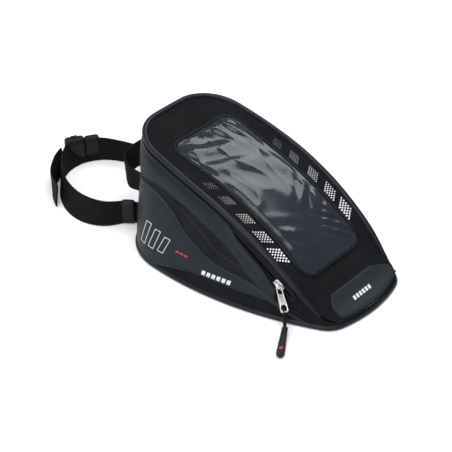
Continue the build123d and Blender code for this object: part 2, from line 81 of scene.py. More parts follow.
def cornerCentre(a, ra, b, rb, upper):
    # centre of a circle touching two bigger ones from inside, ra and rb being what is left of their radii
    d = (b - a).length
    along = (ra * ra - rb * rb + d * d) / (2 * d)
    off = math.sqrt(max(ra * ra - along * along, 0))
    way = (b - a) / d
    found = [a + way * along + Vector((-way.y, way.x)) * off * s for s in (-1, 1)]
    return (max if upper else min)(found, key=lambda p: p.y)


def outlineArcs(size):
    nose = Vector((0, form["noseY"] + size["nose"]))
    side = Vector((size["half"] - size["side"], size["widest"]))
    front = Vector((0, form["frontY"] - form["frontEdge"]))
    c1 = cornerCentre(nose, size["nose"] - size["noseCorner"], side, size["side"] - size["noseCorner"], False)
    c2 = cornerCentre(front, form["frontEdge"] - size["frontCorner"], side,
                      size["side"] - size["frontCorner"], True)
    turn = [-math.pi / 2]
    for a, b in ((nose, c1), (side, c1), (side, c2), (front, c2)):
        turn.append(math.atan2(b.y - a.y, b.x - a.x))
    turn.append(math.pi / 2)
    centres = (nose, c1, side, c2, front)
    radii = (size["nose"], size["noseCorner"], size["side"], size["frontCorner"], form["frontEdge"])
    return list(zip(centres, radii, turn, turn[1:]))


baseArcs = outlineArcs(form["base"])
topArcs = outlineArcs(form["top"])


def outlineAt(arcs, u):
    # u runs from 0 at the nose to 5 at the middle of the tall end
    i = max(0, min(int(u), 4))
    c, r, a0, a1 = arcs[i]
    a = a0 + (a1 - a0) * (u - i)
    way = Vector((math.cos(a), math.sin(a)))
    return c + way * r, way


def wall(u, z, out=0, side=-1):
    # a point on the wall at height z, and its normal; u past 5 carries on round the other side
    if u > 5:
        u, side = 10 - u, -side
    low, wayLow = outlineAt(baseArcs, u)
    high, wayHigh = outlineAt(topArcs, u)
    share = z / form["topZ"]
    p = low.lerp(high, share)
    way = wayLow.lerp(wayHigh, share).normalized()
    lean = (low - high).dot(way) / form["topZ"]
    normal = Vector((way.x, way.y, lean)).normalized()
    p = Vector((p.x, p.y, z)) + normal * out
    return Vector((side * p.x, p.y, p.z)), Vector((side * normal.x, normal.y, normal.z))


def uAt(y, z):
    low, high = 0.0, 5.0
    for _ in range(30):
        mid = (low + high) / 2
        if wall(mid, z)[0].y < y:
            low = mid
        else:
            high = mid
    return low


def lidPoint(y, out=0):
    # y and z on the lid's line, moved out square to it
    cy, cz = lidLine["centre"]
    r = lidLine["radius"]
    noseTurn = math.asin((cy - lidLine["noseStart"]) / r)
    roofTurn = math.asin((cy - lidLine["roofStart"]) / r)
    if y < lidLine["noseStart"]:
        rn = lidLine["noseRadius"]
        ny = lidLine["noseStart"] - rn * math.sin(noseTurn)
        nz = cz + r * math.cos(noseTurn) + rn * math.cos(noseTurn)
        a = math.asin((y - ny) / rn)
        return ny + (rn - out) * math.sin(a), nz - (rn - out) * math.cos(a), a
    if y > lidLine["roofStart"]:
        rr = lidLine["roofRadius"]
        ry = lidLine["roofStart"] + rr * math.sin(roofTurn)
        rz = cz + r * math.cos(roofTurn) - rr * math.cos(roofTurn)
        a = math.asin((ry - y) / rr)
        return ry - (rr + out) * math.sin(a), rz + (rr + out) * math.cos(a), a
    a = math.asin((cy - y) / r)
    return cy - (r + out) * math.sin(a), cz + (r + out) * math.cos(a), a


def heightOn(u, line):
    # where the wall at u meets a line z(y) seen from the side
    z = 60.0
    for _ in range(12):
        z = 0.4 * z + 0.6 * line(wall(u, z)[0].y)
    return z


def lidHeight(y, out=0):
    yy = y
    for _ in range(6):
        at = lidPoint(yy, out)
        yy += y - at[0]
    return lidPoint(yy, out)[1]


def smoothLine(points):
    # a soft curve through points (y, z), given from the tall end to the nose
    pts = sorted(points)

    def at(y):
        if y <= pts[0][0]:
            return pts[0][1]
        if y >= pts[-1][0]:
            return pts[-1][1]
        i = max(j for j in range(len(pts) - 1) if pts[j][0] <= y)
        (y0, z0), (y1, z1) = pts[i], pts[i + 1]
        s0 = (z1 - pts[i - 1][1]) / (y1 - pts[i - 1][0]) if i else (z1 - z0) / (y1 - y0)
        s1 = (pts[i + 2][1] - z0) / (pts[i + 2][0] - y0) if i + 2 < len(pts) else (z1 - z0) / (y1 - y0)
        t = (y - y0) / (y1 - y0)
        h = y1 - y0
        return (z0 * (2 * t ** 3 - 3 * t ** 2 + 1) + s0 * h * (t ** 3 - 2 * t ** 2 + t)
                + z1 * (3 * t ** 2 - 2 * t ** 3) + s1 * h * (t ** 3 - t ** 2))
    return at


seams = {
    "bandLow": smoothLine([(200, 78), (141, 85), (112, 92), (86, 93.3), (50.7, 86.7), (13.2, 72.9),
                           (-9.5, 63.7),
                           (-31.8, 50.1), (-53.4, 35.8), (-74, 24.5), (-100, 12), (-125, 4)]),
    "meshLow": smoothLine([(200, 70), (140, 78), (112, 86), (87.5, 85), (60.6, 72.8), (42.5, 59.4),
                           (19.2, 47.5),
                           (-4, 39.6), (-26.5, 36.6), (-54, 31.5), (-74, 23.6), (-100, 11), (-125, 3)]),
    "panelLow": smoothLine([(200, -12), (110, -4), (94.7, 0.5), (73.4, 6.5), (47.5, 13.5), (20, 19.5),
                            (-7.4, 20.8), (-37.5, 20.4), (-60, 20), (-74, 18), (-100, 8), (-125, 1)]),
    "lensLow": smoothLine([(56, 87.5), (50, 83), (36, 74.5), (16, 64), (-1, 55), (-16, 50), (-32, 47),
                           (-40, 45.2)])}


def soft(p, size=0.6, scale=0.02):
    # the slight unevenness of sewn cloth, in millimetres
    return size * noise.noise(p * scale)


# meshes

def turnOutwards(mesh):
    bm = bmesh.new()
    bm.from_mesh(mesh)
    if bm.calc_volume(signed=True) < 0:
        bmesh.ops.reverse_faces(bm, faces=bm.faces)
        bm.to_mesh(mesh)
    bm.free()


def meshObject(name, verts, faces, body, material, smooth=True, uvs=None):
    mesh = bpy.data.meshes.new(name)
    mesh.from_pydata([Vector((v[0], v[1], max(v[2], 0.05))) * mm for v in verts], [],
                     faces)   # nothing below the floor
    if smooth:
        mesh.shade_smooth()
    if uvs:
        layer = mesh.uv_layers.new(name="cloth")
        for loop in mesh.loops:
            layer.data[loop.index].uv = uvs[loop.vertex_index]
    turnOutwards(mesh)
    obj = bpy.data.objects.new(name, mesh)
    bpy.context.collection.objects.link(obj)
    obj.data.materials.append(material)
    if body:
        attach(obj, body)
    return obj


def gridFaces(rows, cols, closedRows=False, flip=False, base=0):
    faces = []
    for i in range(rows if closedRows else rows - 1):
        for j in range(cols - 1):
            a = base + i * cols + j
            b = base + ((i + 1) % rows) * cols + j
            quad = (a, b, b + 1, a + 1)
            faces.append(quad[::-1] if flip else quad)
    return faces


def shellObject(name, rows, inner, body, material, flip=False, uvScale=1.0):
    # a closed thin shell: rows of outer points, and the same rows of inner points
    n, m = len(rows), len(rows[0])
    verts = [p for row in rows for p in row] + [p for row in inner for p in row]
    faces = gridFaces(n, m, flip=flip) + gridFaces(n, m, flip=not flip, base=n * m)
    rim = [(i, 0) for i in range(n)] + [(n - 1, j) for j in range(1, m)]
    rim += [(i, m - 1) for i in range(n - 2, -1, -1)] + [(0, j) for j in range(m - 2, 0, -1)]
    for k, (i, j) in enumerate(rim):
        i2, j2 = rim[(k + 1) % len(rim)]
        a, b = i * m + j, i2 * m + j2
        quad = (a, a + n * m, b + n * m, b)
        faces.append(quad if flip else quad[::-1])
    uvs = []
    for part in (rows, inner):
        across = 0.0
        for i, row in enumerate(part):
            if i:
                across += (row[m // 2] - part[i - 1][m // 2]).length
            along = 0.0
            for j, p in enumerate(row):
                if j:
                    along += (p - row[j - 1]).length
                uvs.append((across * 0.01 * uvScale, along * 0.01 * uvScale))
    obj = meshObject(name, verts, faces, body, material, uvs=uvs)
    return obj


def tube(name, path, radius, body, material, sides=12, closed=False, squeeze=1.0):
    # a round tube along points, with a steady frame
    n = len(path)
    verts = []
    uvs = []
    up = Vector((0, 0, 1))
    run = 0.0
    for i, p in enumerate(path):
        before = path[i - 1] if i or closed else p
        after = path[(i + 1) % n] if i + 1 < n or closed else p
        way = (after - before).normalized()
        side = way.cross(up).normalized()
        top = side.cross(way).normalized()
        if i:
            run += (p - path[i - 1]).length
        for k in range(sides):
            a = 2 * math.pi * k / sides
            verts.append(p + side * math.cos(a) * radius + top * math.sin(a) * radius * squeeze)
            uvs.append((run * 0.01, k / sides * radius * 0.0628))
    faces = []
    for i in range(n if closed else n - 1):
        for k in range(sides):
            a, b = i * sides + k, ((i + 1) % n) * sides + k
            c, d = ((i + 1) % n) * sides + (k + 1) % sides, i * sides + (k + 1) % sides
            faces.append((a, d, c, b))
    if not closed:
        faces.append(tuple(range(sides)))
        faces.append(tuple((n - 1) * sides + k for k in reversed(range(sides))))
    obj = meshObject(name, verts, faces, body, material, uvs=uvs)
    return obj

# materials


def nodeGroup(name, ins, outs):
    group = bpy.data.node_groups.new(name, "ShaderNodeTree")
    for label, kind, value in ins:
        socket = group.interface.new_socket(label, in_out="INPUT", socket_type=kind)
        if value is not None:
            socket.default_value = value
    for label, kind in outs:
        group.interface.new_socket(label, in_out="OUTPUT", socket_type=kind)
    return group, group.nodes.new("NodeGroupInput"), group.nodes.new("NodeGroupOutput")


def add(tree, kind, **values):
    node = tree.nodes.new(kind)
    for key, value in values.items():
        setattr(node, key, value)
    return node


def maths(tree, op, a, b=None):
    node = add(tree, "ShaderNodeMath", operation=op)
    for i, v in enumerate((a, b)):
        if v is None:
            continue
        if isinstance(v, (int, float)):
            node.inputs[i].default_value = v
        else:
            tree.links.new(v, node.inputs[i])
    return node.outputs[0]


def makeWeave():
    # a plain weave with a stronger thread every few threads: Height and Shade, both about 0 to 1
    g, gin, gout = nodeGroup("weave", [("Vector", "NodeSocketVector", None),
                                       ("Threads", "NodeSocketFloat", 1500.0),
                                       ("Ripstop", "NodeSocketFloat", 0.0)],
                             [("Height", "NodeSocketFloat"), ("Shade", "NodeSocketFloat")])
    sep = add(g, "ShaderNodeSeparateXYZ")
    g.links.new(gin.outputs["Vector"], sep.inputs[0])
    waves = []
    for axis in (0, 1):
        scaled = maths(g, "MULTIPLY", sep.outputs[axis], gin.outputs["Threads"])
        waves.append((maths(g, "SINE", maths(g, "MULTIPLY", scaled, math.pi)), scaled))
    over = maths(g, "MULTIPLY", waves[0][0], waves[1][0])
    plain = maths(g, "ADD", maths(g, "MULTIPLY", over, 0.5), 0.5)
    grids = []
    for wave, scaled in waves:
        step = maths(g, "PINGPONG", scaled, 5.0)
        grids.append(maths(g, "LESS_THAN", step, 0.55))
    grid = maths(g, "MULTIPLY", maths(g, "MAXIMUM", grids[0], grids[1]), gin.outputs["Ripstop"])
    height = maths(g, "ADD", plain, maths(g, "MULTIPLY", grid, 0.9))
    g.links.new(height, gout.inputs["Height"])
    g.links.new(maths(g, "MINIMUM", maths(g, "ADD", maths(g, "MULTIPLY", plain, 0.5),
                                          maths(g, "MULTIPLY", grid, 0.5)), 1.0), gout.inputs["Shade"])
    return g


def makeGrain():
    # leather-like pores and a slow variation
    g, gin, gout = nodeGroup("grain", [("Vector", "NodeSocketVector", None),
                                       ("Scale", "NodeSocketFloat", 900.0)],
                             [("Height", "NodeSocketFloat"), ("Cloud", "NodeSocketFloat")])
    cells = add(g, "ShaderNodeTexVoronoi", feature="DISTANCE_TO_EDGE")
    g.links.new(gin.outputs["Vector"], cells.inputs["Vector"])
    g.links.new(gin.outputs["Scale"], cells.inputs["Scale"])
    cloud = add(g, "ShaderNodeTexNoise")
    cloud.inputs["Scale"].default_value = 35
    cloud.inputs["Detail"].default_value = 4
    g.links.new(gin.outputs["Vector"], cloud.inputs["Vector"])
    g.links.new(maths(g, "MINIMUM", maths(g, "MULTIPLY", cells.outputs[0], 3.0), 1.0), gout.inputs["Height"])
    g.links.new(cloud.outputs[0], gout.inputs["Cloud"])
    return g


def makeWear():
    # paler along raised edges, with dust in a fine noise
    g, gin, gout = nodeGroup("edgeWear", [("Vector", "NodeSocketVector", None),
                                          ("Amount", "NodeSocketFloat", 0.5)],
                             [("Mask", "NodeSocketFloat")])
    geo = add(g, "ShaderNodeNewGeometry")
    edge = maths(g, "MULTIPLY", maths(g, "SUBTRACT", geo.outputs["Pointiness"], 0.52), 14.0)
    speck = add(g, "ShaderNodeTexNoise")
    speck.inputs["Scale"].default_value = 300
    speck.inputs["Detail"].default_value = 3
    g.links.new(gin.outputs["Vector"], speck.inputs["Vector"])
    worn = maths(g, "MULTIPLY", maths(g, "MAXIMUM", edge, 0.0), speck.outputs[0])
    clamp = maths(g, "MINIMUM", maths(g, "MULTIPLY", worn, gin.outputs["Amount"]), 1.0)
    g.links.new(clamp, gout.inputs["Mask"])
    return g


weave = makeWeave()
grain = makeGrain()
wear = makeWear()


def finishOf(name, color, pale, rough=0.6, groups=(), bump=0.3, depth=0.00015, uv=False, **extra):
    # one Principled material: groups is (group, settings, height output, shade output)
    mat = bpy.data.materials.new(name)
    mat.use_nodes = True
    tree = mat.node_tree
    shader = tree.nodes["Principled BSDF"]
    for key, value in extra.items():
        shader.inputs[key].default_value = value
    shader.inputs["Roughness"].default_value = rough
    coords = add(tree, "ShaderNodeTexCoord")
    vector = coords.outputs["UV" if uv else "Object"]
    heights = []
    shades = []
    for group, settings, height, shade in groups:
        node = add(tree, "ShaderNodeGroup", node_tree=group)
        tree.links.new(vector, node.inputs["Vector"])
        for key, value in settings.items():
            node.inputs[key].default_value = value
        if height:
            heights.append(node.outputs[height])
        if shade:
            shades.append(node.outputs[shade])
    worn = add(tree, "ShaderNodeGroup", node_tree=wear)
    tree.links.new(vector, worn.inputs["Vector"])
    cloud = add(tree, "ShaderNodeTexNoise")
    cloud.inputs["Scale"].default_value = 25
    cloud.inputs["Detail"].default_value = 5
    tree.links.new(coords.outputs["Object"], cloud.inputs["Vector"])
    shade = maths(tree, "MULTIPLY", cloud.outputs[0], 0.7)
    for s in shades:
        shade = maths(tree, "ADD", shade, maths(tree, "MULTIPLY", s, 0.5))
    shade = maths(tree, "ADD", shade, maths(tree, "MULTIPLY", worn.outputs[0], 0.6))
    ramp = add(tree, "ShaderNodeMix", data_type="RGBA")
    ramp.inputs["A"].default_value = (*color, 1)
    ramp.inputs["B"].default_value = (*pale, 1)
    tree.links.new(maths(tree, "MINIMUM", shade, 1.0), ramp.inputs["Factor"])
    tree.links.new(ramp.outputs["Result"], shader.inputs["Base Color"])
    if heights:
        total = heights[0]
        for h in heights[1:]:
            total = maths(tree, "ADD", total, h)
        bumpNode = add(tree, "ShaderNodeBump")
        bumpNode.inputs["Strength"].default_value = bump
        bumpNode.inputs["Distance"].default_value = depth
        tree.links.new(total, bumpNode.inputs["Height"])
        tree.links.new(bumpNode.outputs[0], shader.inputs["Normal"])
    return mat


def makeRibs():
    # webbing: fine ribs across the band and a softer twill between them, from the piece's own UV map
    g, gin, gout = nodeGroup("ribs", [("Vector", "NodeSocketVector", None),
                                      ("Across", "NodeSocketFloat", 55.0)],
                             [("Height", "NodeSocketFloat"), ("Shade", "NodeSocketFloat")])
    sep = add(g, "ShaderNodeSeparateXYZ")
    g.links.new(gin.outputs["Vector"], sep.inputs[0])
    rib = maths(g, "ABSOLUTE", maths(g, "SINE", maths(g, "MULTIPLY", sep.outputs[0],
                                                      maths(g, "MULTIPLY", gin.outputs["Across"], math.pi))))
    row = maths(g, "ABSOLUTE", maths(g, "SINE", maths(g, "MULTIPLY", sep.outputs[1], 150 * math.pi)))
    height = maths(g, "ADD", rib, maths(g, "MULTIPLY", row, 0.3))
    g.links.new(height, gout.inputs["Height"])
    g.links.new(maths(g, "POWER", rib, 2.0), gout.inputs["Shade"])
    return g


ribs = makeRibs()
matt = {"Specular IOR Level": 0.06}
sheen = {"Specular IOR Level": 0.16}
cloth = finishOf("blackCloth", (0.0020, 0.0020, 0.0024), (0.0125, 0.0122, 0.0142), 0.74,
                 [(weave, {"Threads": 950.0, "Ripstop": 1.0}, "Height", "Shade")], 0.7, 0.0004, **matt)
meshCloth = finishOf("sideMesh", (0.0016, 0.0018, 0.0023), (0.0185, 0.0200, 0.0240), 0.7,
                     [(weave, {"Threads": 520.0, "Ripstop": 0.0}, "Height", "Shade")], 0.9, 0.0006, **matt)
smoothPu = finishOf("smoothPu", (0.0062, 0.0082, 0.0115), (0.0165, 0.0210, 0.0280), 0.46,
                    [(grain, {"Scale": 1400.0}, "Height", None)], 0.22, 0.00012, **sheen)
bandPu = finishOf("bandPu", (0.0045, 0.0060, 0.0088), (0.0135, 0.0175, 0.0240), 0.48,
                  [(grain, {"Scale": 1500.0}, "Height", None)], 0.25, 0.00012, **sheen)
pipingPu = finishOf("pipingPu", (0.0050, 0.0066, 0.0095), (0.0150, 0.0192, 0.0260), 0.40,
                    [(grain, {"Scale": 1800.0}, "Height", None)], 0.2, 0.0001, **sheen)
tapeCloth = finishOf("zipTapeCloth", (0.004, 0.004, 0.0045), (0.016, 0.016, 0.018), 0.8,
                     [(weave, {"Threads": 2000.0, "Ripstop": 0.0}, "Height", "Shade")], 0.5, 0.0002, **matt)
coilNylon = finishOf("coilNylon", (0.006, 0.006, 0.007), (0.02, 0.02, 0.022), 0.35)
webbing = finishOf("ribbedWebbing", (0.0010, 0.0010, 0.0012), (0.0150, 0.0148, 0.0160), 0.74,
                   [(ribs, {"Across": 62.0}, "Height", "Shade")], 1.0, 0.0009, uv=True, **matt)
liningCloth = finishOf("liningCloth", (0.020, 0.021, 0.023), (0.045, 0.047, 0.05), 0.75,
                       [(weave, {"Threads": 1600.0, "Ripstop": 0.0}, "Height", "Shade")], 0.4, 0.0002)
foamGrey = finishOf("foamGrey", (0.05, 0.05, 0.055), (0.10, 0.10, 0.11), 0.9,
                    [(grain, {"Scale": 700.0}, "Height", "Cloud")], 0.5, 0.0003)
boardBlack = finishOf("boardBlack", (0.02, 0.02, 0.022), (0.04, 0.04, 0.043), 0.6,
                      [(grain, {"Scale": 1200.0}, "Height", "Cloud")], 0.2, 0.0001)
gripBase = finishOf("nonSlipBase", (0.011, 0.011, 0.012), (0.028, 0.028, 0.03), 0.8,
                    [(grain, {"Scale": 500.0}, "Height", "Cloud")], 0.9, 0.0006)
threadDark = finishOf("thread", (0.010, 0.012, 0.015), (0.05, 0.056, 0.066), 0.6)
acetal = finishOf("mouldedAcetal", (0.003, 0.003, 0.0034), (0.011, 0.011, 0.012), 0.42,
                  [(grain, {"Scale": 2200.0}, "Height", "Cloud")], 0.15, 0.00008, **sheen)
castMetal = finishOf("zipCasting", (0.44, 0.43, 0.40), (0.62, 0.61, 0.58), 0.30,
                     [(grain, {"Scale": 1500.0}, "Height", "Cloud")], 0.12, 0.00008, Metallic=1.0)
magnetSteel = finishOf("magnetSteel", (0.35, 0.35, 0.36), (0.5, 0.5, 0.5), 0.3, Metallic=1.0)
cordBraid = finishOf("cordBraid", (0.004, 0.004, 0.0045), (0.02, 0.02, 0.022), 0.7,
                     [(weave, {"Threads": 1800.0, "Ripstop": 0.0}, "Height", "Shade")], 0.8, 0.0003, **matt)
gripRubber = finishOf("gripRubber", (0.006, 0.0065, 0.008), (0.018, 0.019, 0.022), 0.5,
                      [(grain, {"Scale": 2500.0}, "Height", "Cloud")], 0.15, 0.00008, **sheen)
redMark = finishOf("redMark", (0.34, 0.008, 0.010), (0.46, 0.02, 0.022), 0.5)
mapBacking = finishOf("mapBacking", (0.010, 0.0125, 0.018), (0.030, 0.036, 0.048), 0.45,
                      [(grain, {"Scale": 150.0}, None, "Cloud")], 0.1, 0.0001)
reflective = finishOf("reflectiveDots", (0.66, 0.68, 0.70), (0.85, 0.86, 0.88), 0.35)
whitePrint = finishOf("whitePrint", (0.50, 0.52, 0.56), (0.68, 0.70, 0.74), 0.45)
film = finishOf("clearFilm", (0.010, 0.0125, 0.018), (0.030, 0.036, 0.048), 0.16, Alpha=0.8,
                **{"Coat Weight": 0.08, "Coat Roughness": 0.05, "Specular IOR Level": 0.34})
print("materials ready")

# the walls: sewn panels, each a little full between its seams

panels = {"skin": 1.2, "seamDepth": 0.5, "columns": 90, "rows": 16}


def fullBetween(v, depth=0.5, full=1.0):
    return full * (max(0.0, math.sin(math.pi * v)) ** 0.5) - depth


def wallPanel(name, lower, upper, u0, u1, side, material, nodes, full=1.0, columns=None, rows=None,
              thick=None, lift=0.0, body="bag", shape=None):
    # a sewn panel between two seam lines, closed in thickness
    n = columns or panels["columns"]
    m = rows or panels["rows"]
    outer, inner = [], []
    for i in range(n):
        a = i / (n - 1)
        u = u0 + (u1 - u0) * a
        z0, z1 = heightOn(u, lower), heightOn(u, upper)
        end = min(1.0, min(a, 1 - a) * n / 4)
        rowOut, rowIn = [], []
        for j in range(m):
            v = j / (m - 1)
            z = z0 + (z1 - z0) * v
            puff = shape(v) if shape else fullBetween(v, panels["seamDepth"], full)
            width = min(1.0, max(0.0, (z1 - z0) / 12))
            out = lift + puff * end * width
            p, normal = wall(u, z, 0, side)
            p = p + normal * (out + soft(p, 0.45, 0.035) * end)
            rowOut.append(p)
            rowIn.append(p - normal * (thick or panels["skin"]))
        outer.append(rowOut)
        inner.append(rowIn)
    obj = shellObject(name, outer, inner, body, material, flip=side > 0)
    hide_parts(*nodes)
    return obj


uNoseEdge = uAt(-149.5, 6)
uSeam = uAt(140, 40)
baseTop = lambda y: 3.2


zipStraightEnd = -28


def zipHeight(y, up):
    # the zip's centre line seen from the side, moved up; it is straight from the fold to zipStraightEnd
    y0, z0, _ = lidPoint(foldY, -zipDepth)
    y1, z1, _ = lidPoint(zipStraightEnd, -zipDepth)
    slope = (z1 - z0) / (y1 - y0)
    rise = math.sqrt(1 + slope * slope)
    straight = z0 + slope * (y - y0) + up * rise
    if y < y1:
        return straight
    return lidHeight(y, up - zipDepth)


def noseTop(y):
    # the wall's top edge, under the lid's piping ahead of the zip
    line = lidHeight(y, -2.4)
    if y < foldY + 3:
        return line
    blendIn = min(1.0, (y - foldY - 3) / 5)
    return line + (zipHeight(y, -5) - line) * blendIn


for side, word in ((-1, "left"), (1, "right")):
    bandLow, meshLow, panelLow = seams["bandLow"], seams["meshLow"], seams["panelLow"]
    low = lambda y: max(3.0, panelLow(y))
    meshEdge = lambda y: max(3.6, meshLow(y))
    bandEdge = lambda y: max(4.2, bandLow(y))
    wallPanel("lowerPanel." + word, baseTop, low, uAt(-120, 3), uAt(98, 3), side, cloth,
              ["lower_panel_" + word], 0.8, 80, 8)
    wallPanel("sidePanel." + word, low, meshEdge, uAt(-118, 3), uSeam, side, smoothPu,
              ["side_panel_" + word], 1.6, 120, 18)
    wallPanel("meshPanel." + word, meshEdge, bandEdge, uAt(-118, 3), uSeam, side, meshCloth,
              ["mesh_panel_" + word], 0.9, 120, 10)
    wallPanel("lensPanel." + word, lambda y: min(seams["lensLow"](y), bandEdge(y) - 0.4),
              lambda y: bandEdge(y) + 1.0, uAt(-38, 48), uAt(54, 85), side, meshCloth,
              ["lens_panel_" + word], 2.0, 70, 12, lift=0.8)
wallPanel("tallPanel", baseTop, bandEdge, uSeam, 10 - uSeam, -1, cloth, ["front_panel"], 1.4, 70, 20)
wallPanel("upperWall", lambda y: bandEdge(y), noseTop, uNoseEdge, 10 - uNoseEdge, -1, cloth, ["upper_wall"],
          0.5, 260, 8, lift=-0.2)
print("walls ready")

# the lid: one sheet of cloth from the nose over the fold to the tall end

lid = {"columns": 96, "rows": 150, "skin": 1.2, "corner": (1.5, 3.5), "inset": 0.5, "foldDip": 0.7,
       "windowLow": -94.5, "windowHigh": 95.0, "windowHalf": 46.0, "waist": 3.0, "windowCorner": 14.0}


def evenly(points, n):
    run = [0.0]
    for a, b in zip(points, points[1:]):
        run.append(run[-1] + (b - a).length)
    out = []
    i = 0
    for k in range(n):
        want = run[-1] * k / (n - 1)
        while i < len(points) - 2 and run[i + 1] < want:
            i += 1
        step = run[i + 1] - run[i]
        out.append(points[i].lerp(points[i + 1], (want - run[i]) / step if step else 0))
    return out


def rimPoint(u, inset=0.0, drop=0.0):
    # a point of the lid's edge, and the wall's normal there
    side = -1
    if u > 5:
        u, side = 10 - u, 1
    z = heightOn(u, lambda y: lidHeight(y, -drop))
    return wall(u, z, -inset, side)


def coons(columns, rows, inset, outline=rimPoint):
    # a grid of plan points inside the lid's edge; s across from left to right, t from nose to tall end
    lo, hi = lid["corner"]
    steps = 60

    def edge(us):
        return [outline(u, inset)[0].xy for u in us]
    nose = evenly(edge([lo * (1 - k / steps) for k in range(steps)]
                       + [10 - lo * k / steps for k in range(steps + 1)]), columns)
    nose[0], nose[-1] = outline(lo, inset)[0].xy, outline(10 - lo, inset)[0].xy
    tall = evenly(edge([hi + (10 - 2 * hi) * k / steps for k in range(steps + 1)]), columns)
    left = evenly(edge([lo + (hi - lo) * k / steps for k in range(steps + 1)]), rows)
    grid = []
    for j in range(rows):
        t = j / (rows - 1)
        row = []
        for i in range(columns):
            s = i / (columns - 1)
            right = Vector((-left[j].x, left[j].y))
            across = left[j].lerp(right, s)
            along = nose[i].lerp(tall[i], t)
            corners = nose[0].lerp(nose[-1], s).lerp(tall[0].lerp(tall[-1], s), t)
            row.append(across + along - corners)
        grid.append(row)
    return grid


def onLid(x, y, out=0.0):
    # the point of the lid's face over (x, y) in plan, moved out square to it
    yy = y
    for _ in range(4):
        at = lidPoint(yy, 0)
        yy += y - at[0]
    a = at[2]
    return Vector((x, y, lidPoint(yy, 0)[1])) + Vector((0, -math.sin(a), math.cos(a))) * out


def lidNormal(y):
    a = lidPoint(y, 0)[2]
    return Vector((0, -math.sin(a), math.cos(a)))


def windowHalfAt(y, grow=0.0):
    # half the window's width at y, its corners rounded
    low, high = lid["windowLow"] - grow, lid["windowHigh"] + grow
    if y < low or y > high:
        return -1.0
    mid = (low + high) / 2
    bow = ((y - mid) / ((high - low) / 2)) ** 2
    half = lid["windowHalf"] + grow - lid["waist"] * (1 - bow)
    r = lid["windowCorner"] + grow
    d = min(y - low, high - y)
    if d < r:
        half += math.sqrt(max(r * r - (r - d) ** 2, 0)) - r
    return half


def lidSheet(name, out, thick, body, material, columns, rows, hole=None, ahead=None, puff=0.0, inset=None,
             behind=None):
    grid = coons(columns, rows, lid["inset"] if inset is None else inset)
    index = {}
    verts = []
    for j, row in enumerate(grid):
        for i, p in enumerate(row):
            s = i / (columns - 1)
            t = j / (rows - 1)
            edge = min(1.0, min(s, 1 - s) * columns / 5, min(t, 1 - t) * rows / 5)
            rise = soft(Vector((p.x, p.y, 3)), 0.35,
                        0.045) * edge + puff * math.sin(math.pi * s) * math.sin(math.pi * t)
            near = math.exp(-((p.y - foldY) / 2.5) ** 2)
            rise -= lid["foldDip"] * near * edge
            verts.append(onLid(p.x, p.y, out + rise))
            index[(i, j)] = len(verts) - 1
    count = len(verts)
    for j, row in enumerate(grid):
        for i, p in enumerate(row):
            verts.append(verts[j * columns + i] - lidNormal(p.y) * thick)
    kept = set()
    for j in range(rows - 1):
        for i in range(columns - 1):
            c = (grid[j][i] + grid[j + 1][i + 1]) / 2
            if hole is not None and abs(c.x) < windowHalfAt(c.y, hole):
                continue
            if (ahead is not None and c.y < ahead) or (behind is not None and c.y > behind):
                continue
            kept.add((i, j))
    faces = []
    for i, j in sorted(kept):
        a, b, c, d = index[(i, j)], index[(i + 1, j)], index[(i + 1, j + 1)], index[(i, j + 1)]
        faces.append((a, b, c, d))
        faces.append((d + count, c + count, b + count, a + count))
        for (p, q), other in (((a, b), (i, j - 1)), ((b, c), (i + 1, j)), ((c, d), (i, j + 1)),
                              ((d, a), (i - 1, j))):
            if other not in kept:
                faces.append((q, p, p + count, q + count))
    used = sorted({v for f in faces for v in f})
    remap = {v: k for k, v in enumerate(used)}
    points = [verts[v] for v in used]
    faces = [tuple(remap[v] for v in f) for f in faces]
    return meshObject(name, points, faces, body, material, uvs=[(p.x * 0.01, p.y * 0.01) for p in points])


lidCloth = lidSheet("lidCloth", 0.0, lid["skin"], None, cloth, lid["columns"], lid["rows"], hole=-2.0)
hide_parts("lid_fabric", "nose_panel")
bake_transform(lidCloth)
lidLining = lidSheet("lidLining", -1.4, 2.0, "lid", liningCloth, 60, 110, ahead=-98.5, inset=4.6)
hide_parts("lid_board")
nosePad = lidSheet("nosePadding", -1.4, 2.0, "bag", liningCloth, 60, 110, behind=-101.5, inset=4.6)
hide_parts("nose_foam")


def sweepBand(name, path, across, half, thick, body, material, closed=False, sides=16, square=0.5,
              uvScale=0.01,
              caps=True):
    # a rounded strip along a path; across gives its width's direction, half and thick may change along it
    n = len(path)
    verts, uvs = [], []
    run = 0.0
    for i, p in enumerate(path):
        before = path[i - 1] if i or closed else p
        after = path[(i + 1) % n] if i + 1 < n or closed else p
        way = (after - before).normalized()
        w = across[i].normalized()
        up = way.cross(w).normalized()
        w = up.cross(way).normalized()
        if i:
            run += (p - path[i - 1]).length
        h = half[i] if isinstance(half, list) else half
        t = thick[i] if isinstance(thick, list) else thick
        for k in range(sides):
            a = 2 * math.pi * (k + 0.5) / sides
            c, s = math.cos(a), math.sin(a)
            x = math.copysign(abs(c) ** square, c) * h
            y = math.copysign(abs(s) ** square, s) * t
            verts.append(p + w * x + up * y)
            uvs.append((run * uvScale, (x + h) * uvScale))
    faces = []
    for i in range(n if closed else n - 1):
        for k in range(sides):
            a, b = i * sides + k, ((i + 1) % n) * sides + k
            c, d = ((i + 1) % n) * sides + (k + 1) % sides, i * sides + (k + 1) % sides
            faces.append((a, b, c, d))
    if not closed and caps:
        faces.append(tuple(range(sides)))
        faces.append(tuple((n - 1) * sides + k for k in reversed(range(sides))))
    return meshObject(name, verts, faces, body, material, uvs=uvs)


# the piped edge of the lid, running on round the nose

